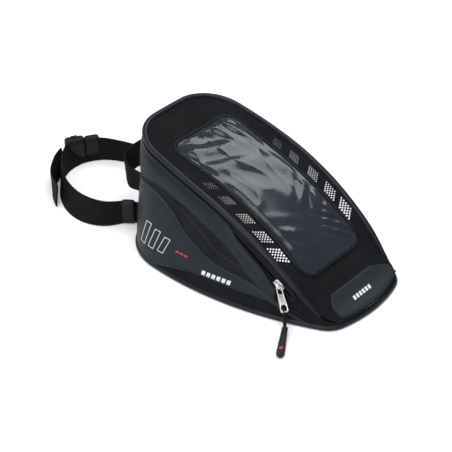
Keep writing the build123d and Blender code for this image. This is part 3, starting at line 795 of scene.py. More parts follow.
rim = {"half": 3.1, "thick": 2.6, "steps": 420, "outset": -0.9, "lift": 0.2, "start": -127.0}
uRim = uAt(rim["start"], 12)
rimPath, rimAcross, rimHalf, rimThick = [], [], [], []
for k in range(rim["steps"] + 1):
    u = uRim + (10 - 2 * uRim) * k / rim["steps"]
    p, normal = rimPoint(u, 0, 0)
    rise = lidNormal(p.y)
    flat = Vector((normal.x, normal.y, 0)).normalized()
    flat = (flat - rise * flat.dot(rise)).normalized()
    end = min(1.0, min(k, rim["steps"] - k) / 12)
    drop = (1 - end) ** 2 * 3.0
    rimPath.append(p + flat * rim["outset"] + rise * (rim["lift"] - drop + soft(p, 0.15, 0.05)))
    rimAcross.append(flat)
    rimHalf.append(rim["half"] * (0.55 + 0.45 * end))
    rimThick.append(rim["thick"] * (0.55 + 0.45 * end))
lidPiping = sweepBand("lidPiping", rimPath, rimAcross, rimHalf, rimThick, None, pipingPu, sides=14,
                      square=0.85)
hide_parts("lid_piping", "nose_piping")
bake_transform(lidPiping)

basePath = []
for k in range(400):
    u = 10 * k / 400
    p, normal = wall(u if u <= 5 else 10 - u, 3.0, -1.4, -1 if u <= 5 else 1)
    basePath.append(Vector((p.x, p.y, 3.0)))
basePiping = tube("basePiping", basePath, 3.0, "bag", pipingPu, 14, closed=True)
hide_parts("base_piping")
print("lid ready")

# the map window: clear film over a dark backing, bound all round

windowValues = {"filmOut": 0.35, "filmThick": 0.3, "bulge": 0.6, "rows": 150, "columns": 70,
                "bindHalf": 2.1, "bindThick": 0.75, "bindOut": 0.5}
ripples = [(-30, -70, 0.5, 16, 26, 1.1, 0.0), (30, -80, 0.9, 9, 20, 0.9, 0.6),
           (30, 78, 0.9, 14, 20, 0.25, 0.4),
           (-18, 74, 1.3, 30, 42, 1.15, 1.0), (34, -40, 0.7, 14, 22, 2.2, 0.3),
           (14, 30, 0.8, 44, 60, 0.9, 0.5)]
filmWaves = {"size": 2.0, "long": 0.011, "wide": 0.021, "crease": 0.7, "seed": 4.0}


def filmRise(x, y):
    # broad slack waves, a few creases, and ripples where the film is pinched by its binding
    p = Vector((x * filmWaves["wide"], (y + 0.5 * x) * filmWaves["long"], filmWaves["seed"]))
    rise = filmWaves["size"] * noise.noise(p)
    ridge = 1 - abs(noise.noise(p * 1.9 + Vector((3, 5, 1)))) * 2
    rise += filmWaves["crease"] * max(0.0, ridge) ** 3
    for cx, cy, size, wave, reach, turn, phase in ripples:
        dx, dy = x - cx, y - cy
        fade = math.exp(-(dx * dx + dy * dy) / (reach * reach))
        line = dx * math.cos(turn) + dy * math.sin(turn)
        rise += size * fade * math.cos(2 * math.pi * line / wave + phase)
    return rise


def windowSheet(name, out, thick, wrinkle, bulge, grow, material):
    n, m = windowValues["rows"], windowValues["columns"]
    low, high = lid["windowLow"] - grow, lid["windowHigh"] + grow
    outer, inner = [], []
    for j in range(n):
        t = j / (n - 1)
        y = low + (high - low) * (0.5 - 0.5 * math.cos(math.pi * t)) if t < 0.08 or t > 0.92 else None
        if y is None:
            edge = 0.5 - 0.5 * math.cos(math.pi * 0.08)
            y = low + (high - low) * (edge + (1 - 2 * edge) * (t - 0.08) / 0.84)
        half = windowHalfAt(y, grow)
        row, under = [], []
        for i in range(m):
            s = 2 * i / (m - 1) - 1
            edge = min(1.0, (1 - abs(s)) * 5, (y - low) / 9, (high - y) / 9)
            edge = edge * edge * (3 - 2 * edge)
            rise = out + edge * (bulge * (1 - s * s) + wrinkle * max(1.0 + filmRise(s * half, y), 0.0))
            p = onLid(s * half, y, rise)
            row.append(p)
            under.append(p - lidNormal(y) * thick)
        outer.append(row)
        inner.append(under)
    return shellObject(name, outer, inner, "lid", material)


windowBack = windowSheet("mapBacking", -0.1, 0.5, 0.25, 0.0, 1.5, mapBacking)
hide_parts("map_backing")
windowFilm = windowSheet("windowFilm", windowValues["filmOut"] + 0.45, windowValues["filmThick"], 1.0,
                         windowValues["bulge"], 1.0, film)
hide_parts("window_film")


def windowLoop(grow, steps):
    low, high = lid["windowLow"] - grow, lid["windowHigh"] + grow
    ys = [low + (high - low) * (0.5 - 0.5 * math.cos(math.pi * k / 200)) for k in range(201)]
    right = [Vector((windowHalfAt(y, grow), y)) for y in ys]
    left = [Vector((-p.x, p.y)) for p in reversed(right)]
    loop = right + left
    loop.append(loop[0])
    return evenly(loop, steps + 1)[:-1]


bindPath, bindAcross = [], []
loop = windowLoop(2.0, 300)
for k, p in enumerate(loop):
    way = loop[(k + 1) % 300] - loop[k - 1]
    bindPath.append(onLid(p.x, p.y, windowValues["bindOut"] + soft(Vector((p.x, p.y, 5)), 0.2, 0.08)))
    bindAcross.append(Vector((way.y, -way.x, 0)).normalized())
binding = sweepBand("windowBinding", bindPath, bindAcross, windowValues["bindHalf"],
                    windowValues["bindThick"], "lid",
                    tapeCloth, closed=True, sides=12, square=0.7)
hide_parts("window_binding")

# the hood that hangs over the zip, and the zip itself

hood = {"start": -78.0, "flapStart": -25.0, "rise": 4.4, "below": -5.0, "lip": -0.9, "lipWidth": 3.4,
        "edgeOut": 1.45, "edgeThick": 0.6,
        "bulge": 2.7, "steps": 300, "around": 18, "thick": 1.5}


def hoodTop(y):
    # a thin lip up to the zip's line where the slider runs, a full flap beyond it
    up = min(1.0, max(0.0, (y - hood["flapStart"]) / 13))
    up = up * up * (3 - 2 * up)
    lip = min(1.0, max(0.0, (y - hood["start"] - 6) / 12))
    low = hood["below"] + (hood["lip"] - hood["below"]) * lip
    return zipHeight(y, low + (hood["rise"] - low) * up)


uHood = uAt(hood["start"], 22)
hoodOut, hoodIn = [], []
for k in range(hood["steps"] + 1):
    u = uHood + (10 - 2 * uHood) * k / hood["steps"]
    side = -1 if u <= 5 else 1
    uu = u if u <= 5 else 10 - u
    z0, z1 = heightOn(uu, bandEdge), heightOn(uu, hoodTop)
    z1 = max(z1, z0 + 0.5)
    wide = min(1.0, (z1 - z0) / 16)
    rowOut, rowIn = [], []
    for j in range(hood["around"]):
        v = j / (hood["around"] - 1)
        z = z0 + (z1 - z0) * v
        lipShare = min(1.0, max(0.0, ((1 - v) * (z1 - z0) - hood["lipWidth"]) / 4))
        swell = math.sin(math.pi * min(v * 0.96 + 0.02, 1)) ** 0.6 * lipShare
        puff = 0.25 + (hood["edgeOut"] - 0.25) * v + hood["bulge"] * 0.75 * wide * swell
        p, normal = wall(uu, z, 0, side)
        uneven = soft(p, 0.35, 0.03) * (1 - v)
        rowOut.append(p + normal * (puff + uneven))
        rowIn.append(p + normal * (puff + uneven - hood["thick"] - (hood["edgeThick"] - hood["thick"]) * v))
    hoodOut.append(rowOut)
    hoodIn.append(rowIn)
zipHood = shellObject("zipHood", hoodOut, hoodIn, "bag", bandPu)
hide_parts("zip_hood")
print("window and hood ready")


def scatterTree(name, kind):
    # puts one small shape on every point, turned by the points' own directions
    tree = bpy.data.node_groups.new(name, "GeometryNodeTree")
    face = tree.interface
    face.new_socket("Geometry", in_out="INPUT", socket_type="NodeSocketGeometry")
    for label, value in (("Length", 1.0), ("Width", 1.0), ("Height", 1.0)):
        face.new_socket(label, in_out="INPUT", socket_type="NodeSocketFloat").default_value = value
    face.new_socket("Material", in_out="INPUT", socket_type="NodeSocketMaterial")
    face.new_socket("Geometry", in_out="OUTPUT", socket_type="NodeSocketGeometry")
    gin, gout = tree.nodes.new("NodeGroupInput"), tree.nodes.new("NodeGroupOutput")
    if kind == "dot":
        shape = add(tree, "GeometryNodeMeshCylinder")
        shape.inputs["Vertices"].default_value = 12
        shape.inputs["Radius"].default_value = 1
        shape.inputs["Depth"].default_value = 2
    else:
        shape = add(tree, "GeometryNodeMeshUVSphere")
        shape.inputs["Segments"].default_value = 8
        shape.inputs["Rings"].default_value = 5
    ways = []
    for label in ("up", "way"):
        node = add(tree, "GeometryNodeInputNamedAttribute", data_type="FLOAT_VECTOR")
        node.inputs["Name"].default_value = label
        ways.append(node.outputs["Attribute"])
    turn = add(tree, "FunctionNodeAxesToRotation", primary_axis="Z", secondary_axis="X")
    tree.links.new(ways[0], turn.inputs["Primary Axis"])
    tree.links.new(ways[1], turn.inputs["Secondary Axis"])
    size = add(tree, "GeometryNodeInputNamedAttribute", data_type="FLOAT")
    size.inputs["Name"].default_value = "size"
    sizes = add(tree, "ShaderNodeCombineXYZ")
    for label, socket in (("Length", 0), ("Width", 1), ("Height", 2)):
        tree.links.new(maths(tree, "MULTIPLY", gin.outputs[label], size.outputs["Attribute"]),
                       sizes.inputs[socket])
    spread = add(tree, "GeometryNodeInstanceOnPoints")
    tree.links.new(gin.outputs["Geometry"], spread.inputs["Points"])
    tree.links.new(shape.outputs["Mesh"], spread.inputs["Instance"])
    tree.links.new(turn.outputs[0], spread.inputs["Rotation"])
    tree.links.new(sizes.outputs[0], spread.inputs["Scale"])
    real = add(tree, "GeometryNodeRealizeInstances")
    tree.links.new(spread.outputs[0], real.inputs[0])
    smooth = add(tree, "GeometryNodeSetShadeSmooth")
    smooth.inputs["Shade Smooth"].default_value = kind != "dot"
    tree.links.new(real.outputs[0], smooth.inputs["Geometry"])
    paint = add(tree, "GeometryNodeSetMaterial")
    tree.links.new(smooth.outputs[0], paint.inputs["Geometry"])
    tree.links.new(gin.outputs["Material"], paint.inputs["Material"])
    tree.links.new(paint.outputs[0], gout.inputs["Geometry"])
    return tree


stitchTree = scatterTree("stitches", "stitch")
dotTree = scatterTree("dots", "dot")


def scatter(name, tree, places, size, body, material):
    # places: (point, way, up, size), in millimetres; the finished piece is a plain mesh
    mesh = bpy.data.meshes.new(name + "Points")
    mesh.from_pydata([p * mm for p, _, _, _ in places], [], [])
    for label, k in (("way", 1), ("up", 2)):
        layer = mesh.attributes.new(label, "FLOAT_VECTOR", "POINT")
        layer.data.foreach_set("vector", [c for place in places for c in place[k].normalized()])
    layer = mesh.attributes.new("size", "FLOAT", "POINT")
    layer.data.foreach_set("value", [place[3] for place in places])
    source = bpy.data.objects.new(name + "Points", mesh)
    bpy.context.collection.objects.link(source)
    modifier = source.modifiers.new("scatter", "NODES")
    modifier.node_group = tree
    names = {item.name: item.identifier for item in tree.interface.items_tree
             if item.item_type == "SOCKET" and item.in_out == "INPUT"}
    for label, value in zip(("Length", "Width", "Height"), size):
        modifier[names[label]] = value * mm
    modifier[names["Material"]] = material
    source.update_tag()
    graph = bpy.context.evaluated_depsgraph_get()
    final = bpy.data.meshes.new_from_object(source.evaluated_get(graph), depsgraph=graph)
    final.name = name
    bpy.data.objects.remove(source)
    obj = bpy.data.objects.new(name, final)
    bpy.context.collection.objects.link(obj)
    final.materials.clear()
    final.materials.append(material)
    final.polygons.foreach_set("material_index", [0] * len(final.polygons))
    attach(obj, body)
    return obj


def zipPoint(u, up, out=0.0):
    # on the wall's face at the zip; the straight runs lie on a chord, inside the wall's curve
    side = -1 if u <= 5 else 1
    uu = u if u <= 5 else 10 - u
    p, normal = wall(uu, heightOn(uu, lambda y: zipHeight(y, up)), -0.6 + out, side)
    if p.y < -28:
        a, _ = wall(uAt(foldY, 30), zipHeight(foldY, up), -0.6 + out, side)
        b, _ = wall(uAt(-28, 60), zipHeight(-28, up), -0.6 + out, side)
        share = (p.y - a.y) / (b.y - a.y)
        p = Vector((a.x + (b.x - a.x) * share, p.y, p.z))
    return p, normal


def zipLine(up, out, pitch, offset=0.0):
    uZip = uAt(foldY + 2.5, 30)
    dense = [zipPoint(uZip + (10 - 2 * uZip) * k / 500, up, out) for k in range(501)]
    length = sum((b[0] - a[0]).length for a, b in zip(dense, dense[1:]))
    count = int(length / pitch)
    line = evenly([d[0] for d in dense], count)
    found = []
    for k, p in enumerate(line):
        way = line[min(k + 1, count - 1)] - line[max(k - 1, 0)]
        nearest = dense[min(500, int(k / (count - 1) * 500))][1]
        found.append((p, way, nearest))
    return found


zipValues = {"pitch": 1.45, "toothLong": 0.42, "toothHigh": 1.25, "toothOut": 0.75}
for word, up, body in (("Upper", 1.65, "lid"), ("Lower", -1.65, "bag")):
    teeth = [(p, way, normal, 1.0) for p, way, normal in zipLine(up, 0.25, zipValues["pitch"])]
    coil = scatter("zipCoil" + word, stitchTree, teeth,
                   (zipValues["toothLong"], zipValues["toothHigh"], zipValues["toothOut"]), body, coilNylon)
    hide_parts("zip_coil_" + word.lower())
tapeSteps = 300
for name, node, low0, high0, body in (("zipTapeLower", "zip_tape_lower", -6.0, -2.4, "bag"),
                                      ("zipTapeUpper", "zip_tape_upper", 2.4, 7.2, "lid")):
    uZip = uAt(foldY + 2.5, 30)
    outer, inner = [], []
    for k in range(tapeSteps + 1):
        u = uZip + (10 - 2 * uZip) * k / tapeSteps
        rowOut, rowIn = [], []
        for j in range(5):
            p, normal = zipPoint(u, low0 + (high0 - low0) * j / 4, 0.35)
            rowOut.append(p)
            rowIn.append(p - normal * 0.7)
        outer.append(rowOut)
        inner.append(rowIn)
    tape = shellObject(name, outer, inner, body, tapeCloth)
    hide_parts(node)
print("zip ready")

# hard pieces: copies of the modelled shape with their edges rounded


def roundedCopy(name, node, body, material, width=0.4, segments=2, planar=8):
    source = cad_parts[node]
    bm = bmesh.new()
    bm.from_mesh(source.data)
    bmesh.ops.remove_doubles(bm, verts=bm.verts, dist=0.00001)
    bmesh.ops.dissolve_limit(bm, angle_limit=math.radians(planar), verts=bm.verts, edges=bm.edges)
    mesh = bpy.data.meshes.new(name)
    bm.to_mesh(mesh)
    bm.free()
    mesh.materials.clear()
    mesh.materials.append(material)
    obj = bpy.data.objects.new(name, mesh)
    bpy.context.collection.objects.link(obj)
    bevel = obj.modifiers.new("edges", "BEVEL")
    bevel.width = width * mm
    bevel.segments = segments
    bevel.limit_method = "ANGLE"
    bevel.angle_limit = math.radians(35)
    graph = bpy.context.evaluated_depsgraph_get()
    final = bpy.data.meshes.new_from_object(obj.evaluated_get(graph), depsgraph=graph)
    bpy.data.objects.remove(obj)
    final.name = name
    final.shade_smooth()
    final.set_sharp_from_angle(angle=math.radians(32))
    piece = bpy.data.objects.new(name, final)
    bpy.context.collection.objects.link(piece)
    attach(piece, body)
    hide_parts(node)
    return piece


# the zip's slider and pull tab, in their own frames

zipFrame = {"origin": (-70.11, -94.19, 29.96), "axis": (-0.05385, 0.83445, 0.54845), "slider": 17.5,
            "tabTurn": 26.0, "tabLift": 11.0, "pin": (-1.7, 6.0)}


def zipMatrix():
    x = Vector(zipFrame["axis"]).normalized()
    a, normalA = wall(uAt(-70, 35), zipHeight(-70, 0), 0, -1)
    z = (normalA - x * normalA.dot(x)).normalized()
    y = z.cross(x)
    m = Matrix((x, y, z)).transposed().to_4x4()
    m.translation = Vector(zipFrame["origin"]) + x * zipFrame["slider"]
    return m


sliderPlace = zipMatrix()


def plate(name, outline, holes, thick, place, body, material, bevel=0.3):
    # a flat plate with rounded edges: outline and holes are lists of plan points, in millimetres
    curve = bpy.data.curves.new(name, "CURVE")
    curve.dimensions = "2D"
    curve.fill_mode = "BOTH"
    curve.extrude = (thick / 2 - bevel) * mm
    curve.bevel_depth = bevel * mm
    curve.bevel_resolution = 2
    curve.offset = -bevel * mm
    for points in [outline] + holes:
        spline = curve.splines.new("POLY")
        spline.points.add(len(points) - 1)
        for point, p in zip(spline.points, points):
            point.co = (p[0] * mm, p[1] * mm, 0, 1)
        spline.use_cyclic_u = True
    flat = bpy.data.objects.new(name, curve)
    bpy.context.collection.objects.link(flat)
    graph = bpy.context.evaluated_depsgraph_get()
    mesh = bpy.data.meshes.new_from_object(flat.evaluated_get(graph), depsgraph=graph)
    bpy.data.objects.remove(flat)
    bm = bmesh.new()
    bm.from_mesh(mesh)
    bmesh.ops.remove_doubles(bm, verts=bm.verts, dist=0.000005)
    turn = place.copy()
    turn.translation = place.translation * mm
    bmesh.ops.transform(bm, matrix=turn, verts=bm.verts)
    bmesh.ops.recalc_face_normals(bm, faces=bm.faces)
    bm.to_mesh(mesh)
    bm.free()
    mesh.name = name
    mesh.materials.clear()
    mesh.materials.append(material)
    mesh.shade_smooth()
    mesh.set_sharp_from_angle(angle=math.radians(40))
    obj = bpy.data.objects.new(name, mesh)
    bpy.context.collection.objects.link(obj)
    if body:
        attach(obj, body)
    return obj


def roundedPoly(corners, radius, steps=6):
    # corners of a convex plan outline, each turned through a small arc
    out = []
    n = len(corners)
    for i, c in enumerate(corners):
        c = Vector(c)
        a, b = (Vector(corners[i - 1]) - c), (Vector(corners[(i + 1) % n]) - c)
        r = min(radius[i] if isinstance(radius, (list, tuple)) else radius, a.length * 0.45, b.length * 0.45)
        p, q = c + a.normalized() * r, c + b.normalized() * r
        for k in range(steps + 1):
            t = k / steps
            out.append(p.lerp(c, t).lerp(c.lerp(q, t), t))
    return out


def circlePoints(x, y, r, n=28, squash=1.0):
    return [(x + r * math.cos(-2 * math.pi * k / n),
             y + r * squash * math.sin(-2 * math.pi * k / n)) for k in range(n)]


sliderValues = {"bridgeHalf": 4.4, "bridgeTop": 8.2, "bridgeRadius": 0.85, "bridgeFoot": 2.2,
                "bridgeSteps": 32}
nosePlate = [(-6.5, -1.6), (-3.5, -3.9), (5.0, -3.6), (6.5, -2.6), (6.5, 3.0), (5.0, 3.1), (-3.5, 3.1),
             (-6.5, 1.4)]
shift = {"top": Matrix.Translation((0, 0.4, 2.4)), "under": Matrix.Translation((0, 0.4, -1.5))}
sliderPlates = [plate("zipSlider", roundedPoly(nosePlate, 1.4), [], 1.0, sliderPlace @ shift["top"], None,
                      castMetal),
                plate("zipSliderUnder", roundedPoly(nosePlate, 1.4), [], 0.9, sliderPlace @ shift["under"],
                      None, castMetal)]
archPath = []
for k in range(sliderValues["bridgeSteps"] + 1):
    a = math.pi * k / sliderValues["bridgeSteps"]
    x = -math.copysign(abs(math.cos(a)) ** 0.6, math.cos(a)) * sliderValues["bridgeHalf"]
    z = sliderValues["bridgeFoot"] + (sliderValues["bridgeTop"] - sliderValues["bridgeRadius"]
                                      - sliderValues["bridgeFoot"]) * math.sin(a) ** 0.7
    archPath.append(sliderPlace @ Vector((x, 0, z)))
arch = sweepBand("zipBridge", archPath, [sliderPlace.to_3x3() @ Vector((0, 1, 0))] * len(archPath), 1.25,
                 0.7, None, castMetal,
                 sides=12, square=0.8)
post = sweepBand("zipPost", [sliderPlace @ Vector((-4.6, 0, -1.6)), sliderPlace @ Vector((-4.6, 0, 2.4))],
                 [sliderPlace.to_3x3() @ Vector((1, 0, 0))] * 2, 1.6, 0.3, None, castMetal, sides=10)


def joined(name, pieces, body):
    bm = bmesh.new()
    for piece in pieces:
        bm.from_mesh(piece.data)
    mesh = bpy.data.meshes.new(name)
    bm.to_mesh(mesh)
    bm.free()
    mesh.materials.append(pieces[0].data.materials[0])
    for piece in pieces:
        bpy.data.objects.remove(piece)
    obj = bpy.data.objects.new(name, mesh)
    bpy.context.collection.objects.link(obj)
    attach(obj, body)
    return obj


slider = joined("zipSliderBody", sliderPlates + [arch, post], "slider")
slider.data.set_sharp_from_angle(angle=math.radians(45))
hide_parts("zip_slider")

tabValues = {"length": 26.8, "topWidth": 7.2, "wide": 9.6, "thick": 1.4, "hole": 3.5}
tabPlace = (sliderPlace @ Matrix.Translation((zipFrame["pin"][0], 0, zipFrame["pin"][1]))
            @ Matrix.Rotation(math.radians(180 - zipFrame["tabTurn"]), 4, "Z")
            @ Matrix.Rotation(math.radians(-zipFrame["tabLift"]), 4, "Y"))
half, top = tabValues["wide"] / 2, tabValues["topWidth"] / 2
tabOutline = roundedPoly([(-1.2, -top), (8, -top), (21, -half), (tabValues["length"], -half),
                          (tabValues["length"], half),
                          (21, half), (8, top), (-1.2, top)], [1.4, 4, 4, 3.6, 3.6, 4, 4, 1.4], 8)
slot = roundedPoly([(0.9, -top + 1.3), (7.2, -top + 1.3), (7.2, top - 1.3), (0.9, top - 1.3)][::-1], 0.9)
pullTab = plate("pullTab", tabOutline, [slot, circlePoints(22.0, 0, tabValues["hole"])],
                tabValues["thick"], tabPlace, "tab", castMetal, bevel=0.4)
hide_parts("pull_tab")

# the pull cord, doubled through the tab's hole, and its rubber grip

cordRoute = [(-0.09254, -0.10353, 0.00629), (-0.08930, -0.10042, 0.01185), (-0.08373, -0.09519, 0.02123),
             (-0.07995, -0.09522, 0.01899), (-0.08621, -0.10035, 0.01025), (-0.09014, -0.10355, 0.00486)]
cordCurve = bpy.data.curves.new("pullCord", "CURVE")
cordCurve.dimensions = "3D"
cordCurve.resolution_u = 16
cordCurve.bevel_depth = 0.001
cordCurve.bevel_resolution = 4
cordCurve.use_fill_caps = True
spline = cordCurve.splines.new("NURBS")
spline.points.add(len(cordRoute) - 1)
for point, p in zip(spline.points, cordRoute):
    point.co = (*p, 1)
spline.order_u = 3
spline.use_endpoint_u = True
pullCord = bpy.data.objects.new("pullCord", cordCurve)
bpy.context.collection.objects.link(pullCord)
cordCurve.materials.append(cordBraid)
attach(pullCord, "grip")
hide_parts("pull_cord")

gripValues = {"start": (-90.5, -103.0, 5.6), "end": (-127.0, -126.5, 4.6), "sides": 24,
              "profile": [(-0.6, 1.6), (-0.3, 2.7), (0.6, 3.25), (2.6, 3.3), (3.4, 2.9), (4.2, 2.85),
                          (5.2, 3.25), (8, 3.45),
                          (20, 3.95), (33, 4.45), (38, 4.6), (41.2, 4.45), (43.0, 3.7), (43.8, 2.4),
                          (44.1, 1.0)]}


def turned(name, start, end, profile, sides, body, material, flat=1.0):
    # a turned form along an axis; flat below 1 squashes it a little in height
    a, b = Vector(start), Vector(end)
    way = (b - a).normalized()
    side = way.cross(Vector((0, 0, 1))).normalized()
    up = side.cross(way)
    verts, faces = [], []
    for run, r in profile:
        for k in range(sides):
            t = 2 * math.pi * k / sides
            verts.append(a + way * run + side * r * math.cos(t) + up * r * math.sin(t) * flat)
    n = len(profile)
    for i in range(n - 1):
        for k in range(sides):
            faces.append((i * sides + k, i * sides + (k + 1) % sides, (i + 1) * sides + (k + 1) % sides,
                          (i + 1) * sides + k))
    faces.append(tuple(range(sides)))
    faces.append(tuple((n - 1) * sides + k for k in reversed(range(sides))))
    return meshObject(name, verts, faces, body, material)


pullGrip = turned("pullGrip", gripValues["start"], gripValues["end"], gripValues["profile"],
                  gripValues["sides"], "grip",
                  gripRubber)
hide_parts("pull_grip")
gripWay = (Vector(gripValues["end"]) - Vector(gripValues["start"])).normalized()
gripSide = gripWay.cross(Vector((0, 0, 1))).normalized()
gripUp = gripSide.cross(gripWay)
gripMark = scatter("gripMark", dotTree, [(Vector(gripValues["start"]) + gripWay * 36.5 + gripUp * 4.5,
                                          gripWay, gripUp, 1.0)],
                   (2.0, 2.0, 0.25), "grip", redMark)
print("pull ready")

# webbing: the carrying handle, the steering-head strap with its loose tail, and their sewn ends

webbingValues = {"handleHigh": (46.0, 74.0), "handleSteps": 150, "bandThick": 0.95, "strapLow": 0.6,
                 "strapHigh": 28.5,
                 "clear": 1.6}
frontFace = form["frontY"]


def smoothPath(points, n):
    # a soft curve through every point
    pts = [Vector(p) for p in points]
    out = []
    for i in range(len(pts) - 1):
        p0 = pts[i - 1] if i else pts[0] * 2 - pts[1]
        p3 = pts[i + 2] if i + 2 < len(pts) else pts[-1] * 2 - pts[-2]
        p1, p2 = pts[i], pts[i + 1]
        for k in range(20):
            t = k / 20
            out.append(0.5 * ((2 * p1) + (p2 - p0) * t + (2 * p0 - 5 * p1 + 4 * p2 - p3) * t * t
                              + (3 * p1 - p0 - 3 * p2 + p3) * t ** 3))
    out.append(pts[-1])
    return evenly(out, n)


def frontPoint(x, z, out):
    # the tall end's face at x and z
    near, far = 3.2, 5.0
    for _ in range(24):
        mid = (near + far) / 2
        if abs(wall(mid, z)[0].x) > abs(x):
            near = mid
        else:
            far = mid
    return wall(near, z, out, -1 if x < 0 else 1)


handleMid = sum(webbingValues["handleHigh"]) / 2
handleSewn = frontPoint(50, handleMid, webbingValues["clear"])[0].y - frontFace
handlePlan = [(-50, handleSewn), (-50, 1.3), (-49, 17.3), (-32, 36.3), (0, 41.3), (32, 36.3), (49, 17.3),
              (50, 1.3),
              (50, handleSewn)]
handlePath = smoothPath([(x, frontFace + y, handleMid) for x, y in handlePlan], webbingValues["handleSteps"])
handleHalf, handleThick, handleAcross = [], [], []
for k, p in enumerate(handlePath):
    fromWall = p.y - frontFace - 3.8
    share = min(1.0, max(0.0, fromWall / 13))
    handleHalf.append(12.8 + 1.0 * share)
    handleThick.append(1.3 - 0.2 * share)
    handleAcross.append(Vector((0.08 * math.sin(k / 22),
                                0.30 * math.sin(k / (webbingValues["handleSteps"] - 1) * math.pi), 1)))
carryHandle = sweepBand("carryHandle", handlePath, handleAcross, handleHalf, handleThick, None, webbing,
                        sides=20,
                        square=0.3)
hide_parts("handle")
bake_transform(carryHandle)

strapLow = [(-50, 5), (-58, 14), (-80, 29), (-90, 54), (-86, 84), (-68, 114), (-40, 136), (-10, 144),
            (14, 133),
            (30, 110), (42, 71), (48, 36), (50, 5)]
strapHigh = [(-49, 5), (-55, 16), (-72, 34), (-79, 58), (-76, 86), (-60, 118), (-32, 144), (-6, 155),
             (18, 140),
             (32, 112), (43, 72), (49, 38), (51, 5)]
tailLow = [(-30, 146), (-52, 136), (-76, 118), (-91, 96)]
tailHigh = [(-22, 156), (-46, 145), (-70, 126), (-85, 100)]


def leaning(name, lowPoints, highPoints, thick, count, body, wave):
    low = smoothPath([(x, frontFace + y, webbingValues["strapLow"]) for x, y in lowPoints], count)
    high = smoothPath([(x, frontFace + y, webbingValues["strapHigh"]) for x, y in highPoints], count)
    path, across, half = [], [], []
    for k, (a, b) in enumerate(zip(low, high)):
        path.append((a + b) / 2 + Vector((soft(a, wave, 0.02), soft(b, wave, 0.02), 0)))
        across.append(b - a)
        half.append((b - a).length / 2)
    return sweepBand(name, path, across, half, thick, body, webbing, sides=24, square=0.3)


# both ends run on to the wall, where they are sewn
for edge, z in ((strapLow, 4.0), (strapHigh, webbingValues["strapHigh"])):
    edge.insert(0, (edge[0][0], frontPoint(edge[0][0], z, webbingValues["clear"])[0].y - frontFace))
    edge.append((edge[-1][0], frontPoint(edge[-1][0], z, webbingValues["clear"])[0].y - frontFace))
strapLoop = leaning("strapLoop", strapLow, strapHigh, webbingValues["bandThick"], 300, None, 0.8)
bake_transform(strapLoop)
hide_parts("strap_webbing")
strapTail = leaning("strapTail", tailLow, tailHigh, webbingValues["bandThick"], 80, "strap", 0.5)
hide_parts("strap_tail")
for node, word in (("handle_anchor_left", "handlePadLeft"), ("handle_anchor_right", "handlePadRight"),
                   ("strap_anchor_left", "strapPadLeft"), ("strap_anchor_right", "strapPadRight")):
    roundedCopy(word, node, "bag", tapeCloth, 0.35, 2, 3)
mouldings = [("strapSliderLeft", "strap_keeper_left", (-56, 13), 128, (-7.5, 7.5), 4.2, (0.3, 31.5), 0.55),
             ("strapSliderRight", "strap_keeper_right", (50, 14.5), 88, (-7.5, 7.5), 4.2, (0.3, 31.5), 0.55),
             ("buckleSocket", "buckle_socket", (5, 147), -32, (-24, -0.1), 6.6, (0.6, 33.8), 0.6),
             ("bucklePlug", "buckle_plug", (5, 147), -32, (0.3, 18), 5.4, (2.4, 32.6), 0.6)]
for word, node, centre, angle, reach, deep, heights, rounding in mouldings:
    way = Vector((math.cos(math.radians(angle)), math.sin(math.radians(angle)), 0))
    middle = Vector((centre[0], frontFace + centre[1], (heights[0] + heights[1]) / 2))
    tall = (heights[1] - heights[0]) / 2
    stations = [0, 0.02, 0.07, 0.16, 0.3, 0.5, 0.7, 0.84, 0.93, 0.98, 1]
    ends = [math.sqrt(max(0.0, 1 - (1 - min(t, 1 - t) / 0.18) ** 2)) if min(t, 1 - t) < 0.18 else 1.0
            for t in stations]
    path = [middle + way * (reach[0] + (reach[1] - reach[0]) * t) for t in stations]
    sweepBand(word, path, [Vector((0, 0, 1))] * len(stations), [tall * (0.86 + 0.14 * e) for e in ends],
              [deep * (0.55 + 0.45 * e) for e in ends], "strap", acetal, sides=28, square=rounding)
    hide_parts(node)
roundedCopy("buckleButtonUpper", "buckle_button_upper", "button_upper", acetal, 0.5, 2, 3)
roundedCopy("buckleButtonLower", "buckle_button_lower", "button_lower", acetal, 0.5, 2, 3)
print("webbing ready")

# the nose patch, with a plain row of bars

patchValues = {"left": 45.0, "right": 57.0, "high": 33.0, "to": -117.0, "columns": 60, "rows": 26}


def patchPoint(s, t, out):
    y1 = patchValues["to"]
    wide = patchValues["left"] if s < 0 else patchValues["right"]
    half = wide + (patchValues["high"] - wide) * max(0.0, (t - 0.45) / 0.55) ** 1.6
    x = s * half
    noseEdge = -151 + 170 - math.sqrt(170 ** 2 - x * x) + 3.4
    y = noseEdge + (y1 - noseEdge) * t
    return onLid(x, y, out)


patchOut, patchIn = [], []
for i in range(patchValues["columns"]):
    s = 2 * i / (patchValues["columns"] - 1) - 1
    rowOut, rowIn = [], []
    for j in range(patchValues["rows"]):
        t = j / (patchValues["rows"] - 1)
        edge = min(1.0, (1 - abs(s)) * 12, t * 8, (1 - t) * 8)
        rise = 0.45 + 0.75 * math.sin(edge * math.pi / 2)
        rowOut.append(patchPoint(s, t, rise))
        rowIn.append(patchPoint(s, t, 0.0))
    patchOut.append(rowOut)
    patchIn.append(rowIn)
nosePatch = shellObject("nosePatch", patchOut, patchIn, "bag", smoothPu)
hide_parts("nose_patch")


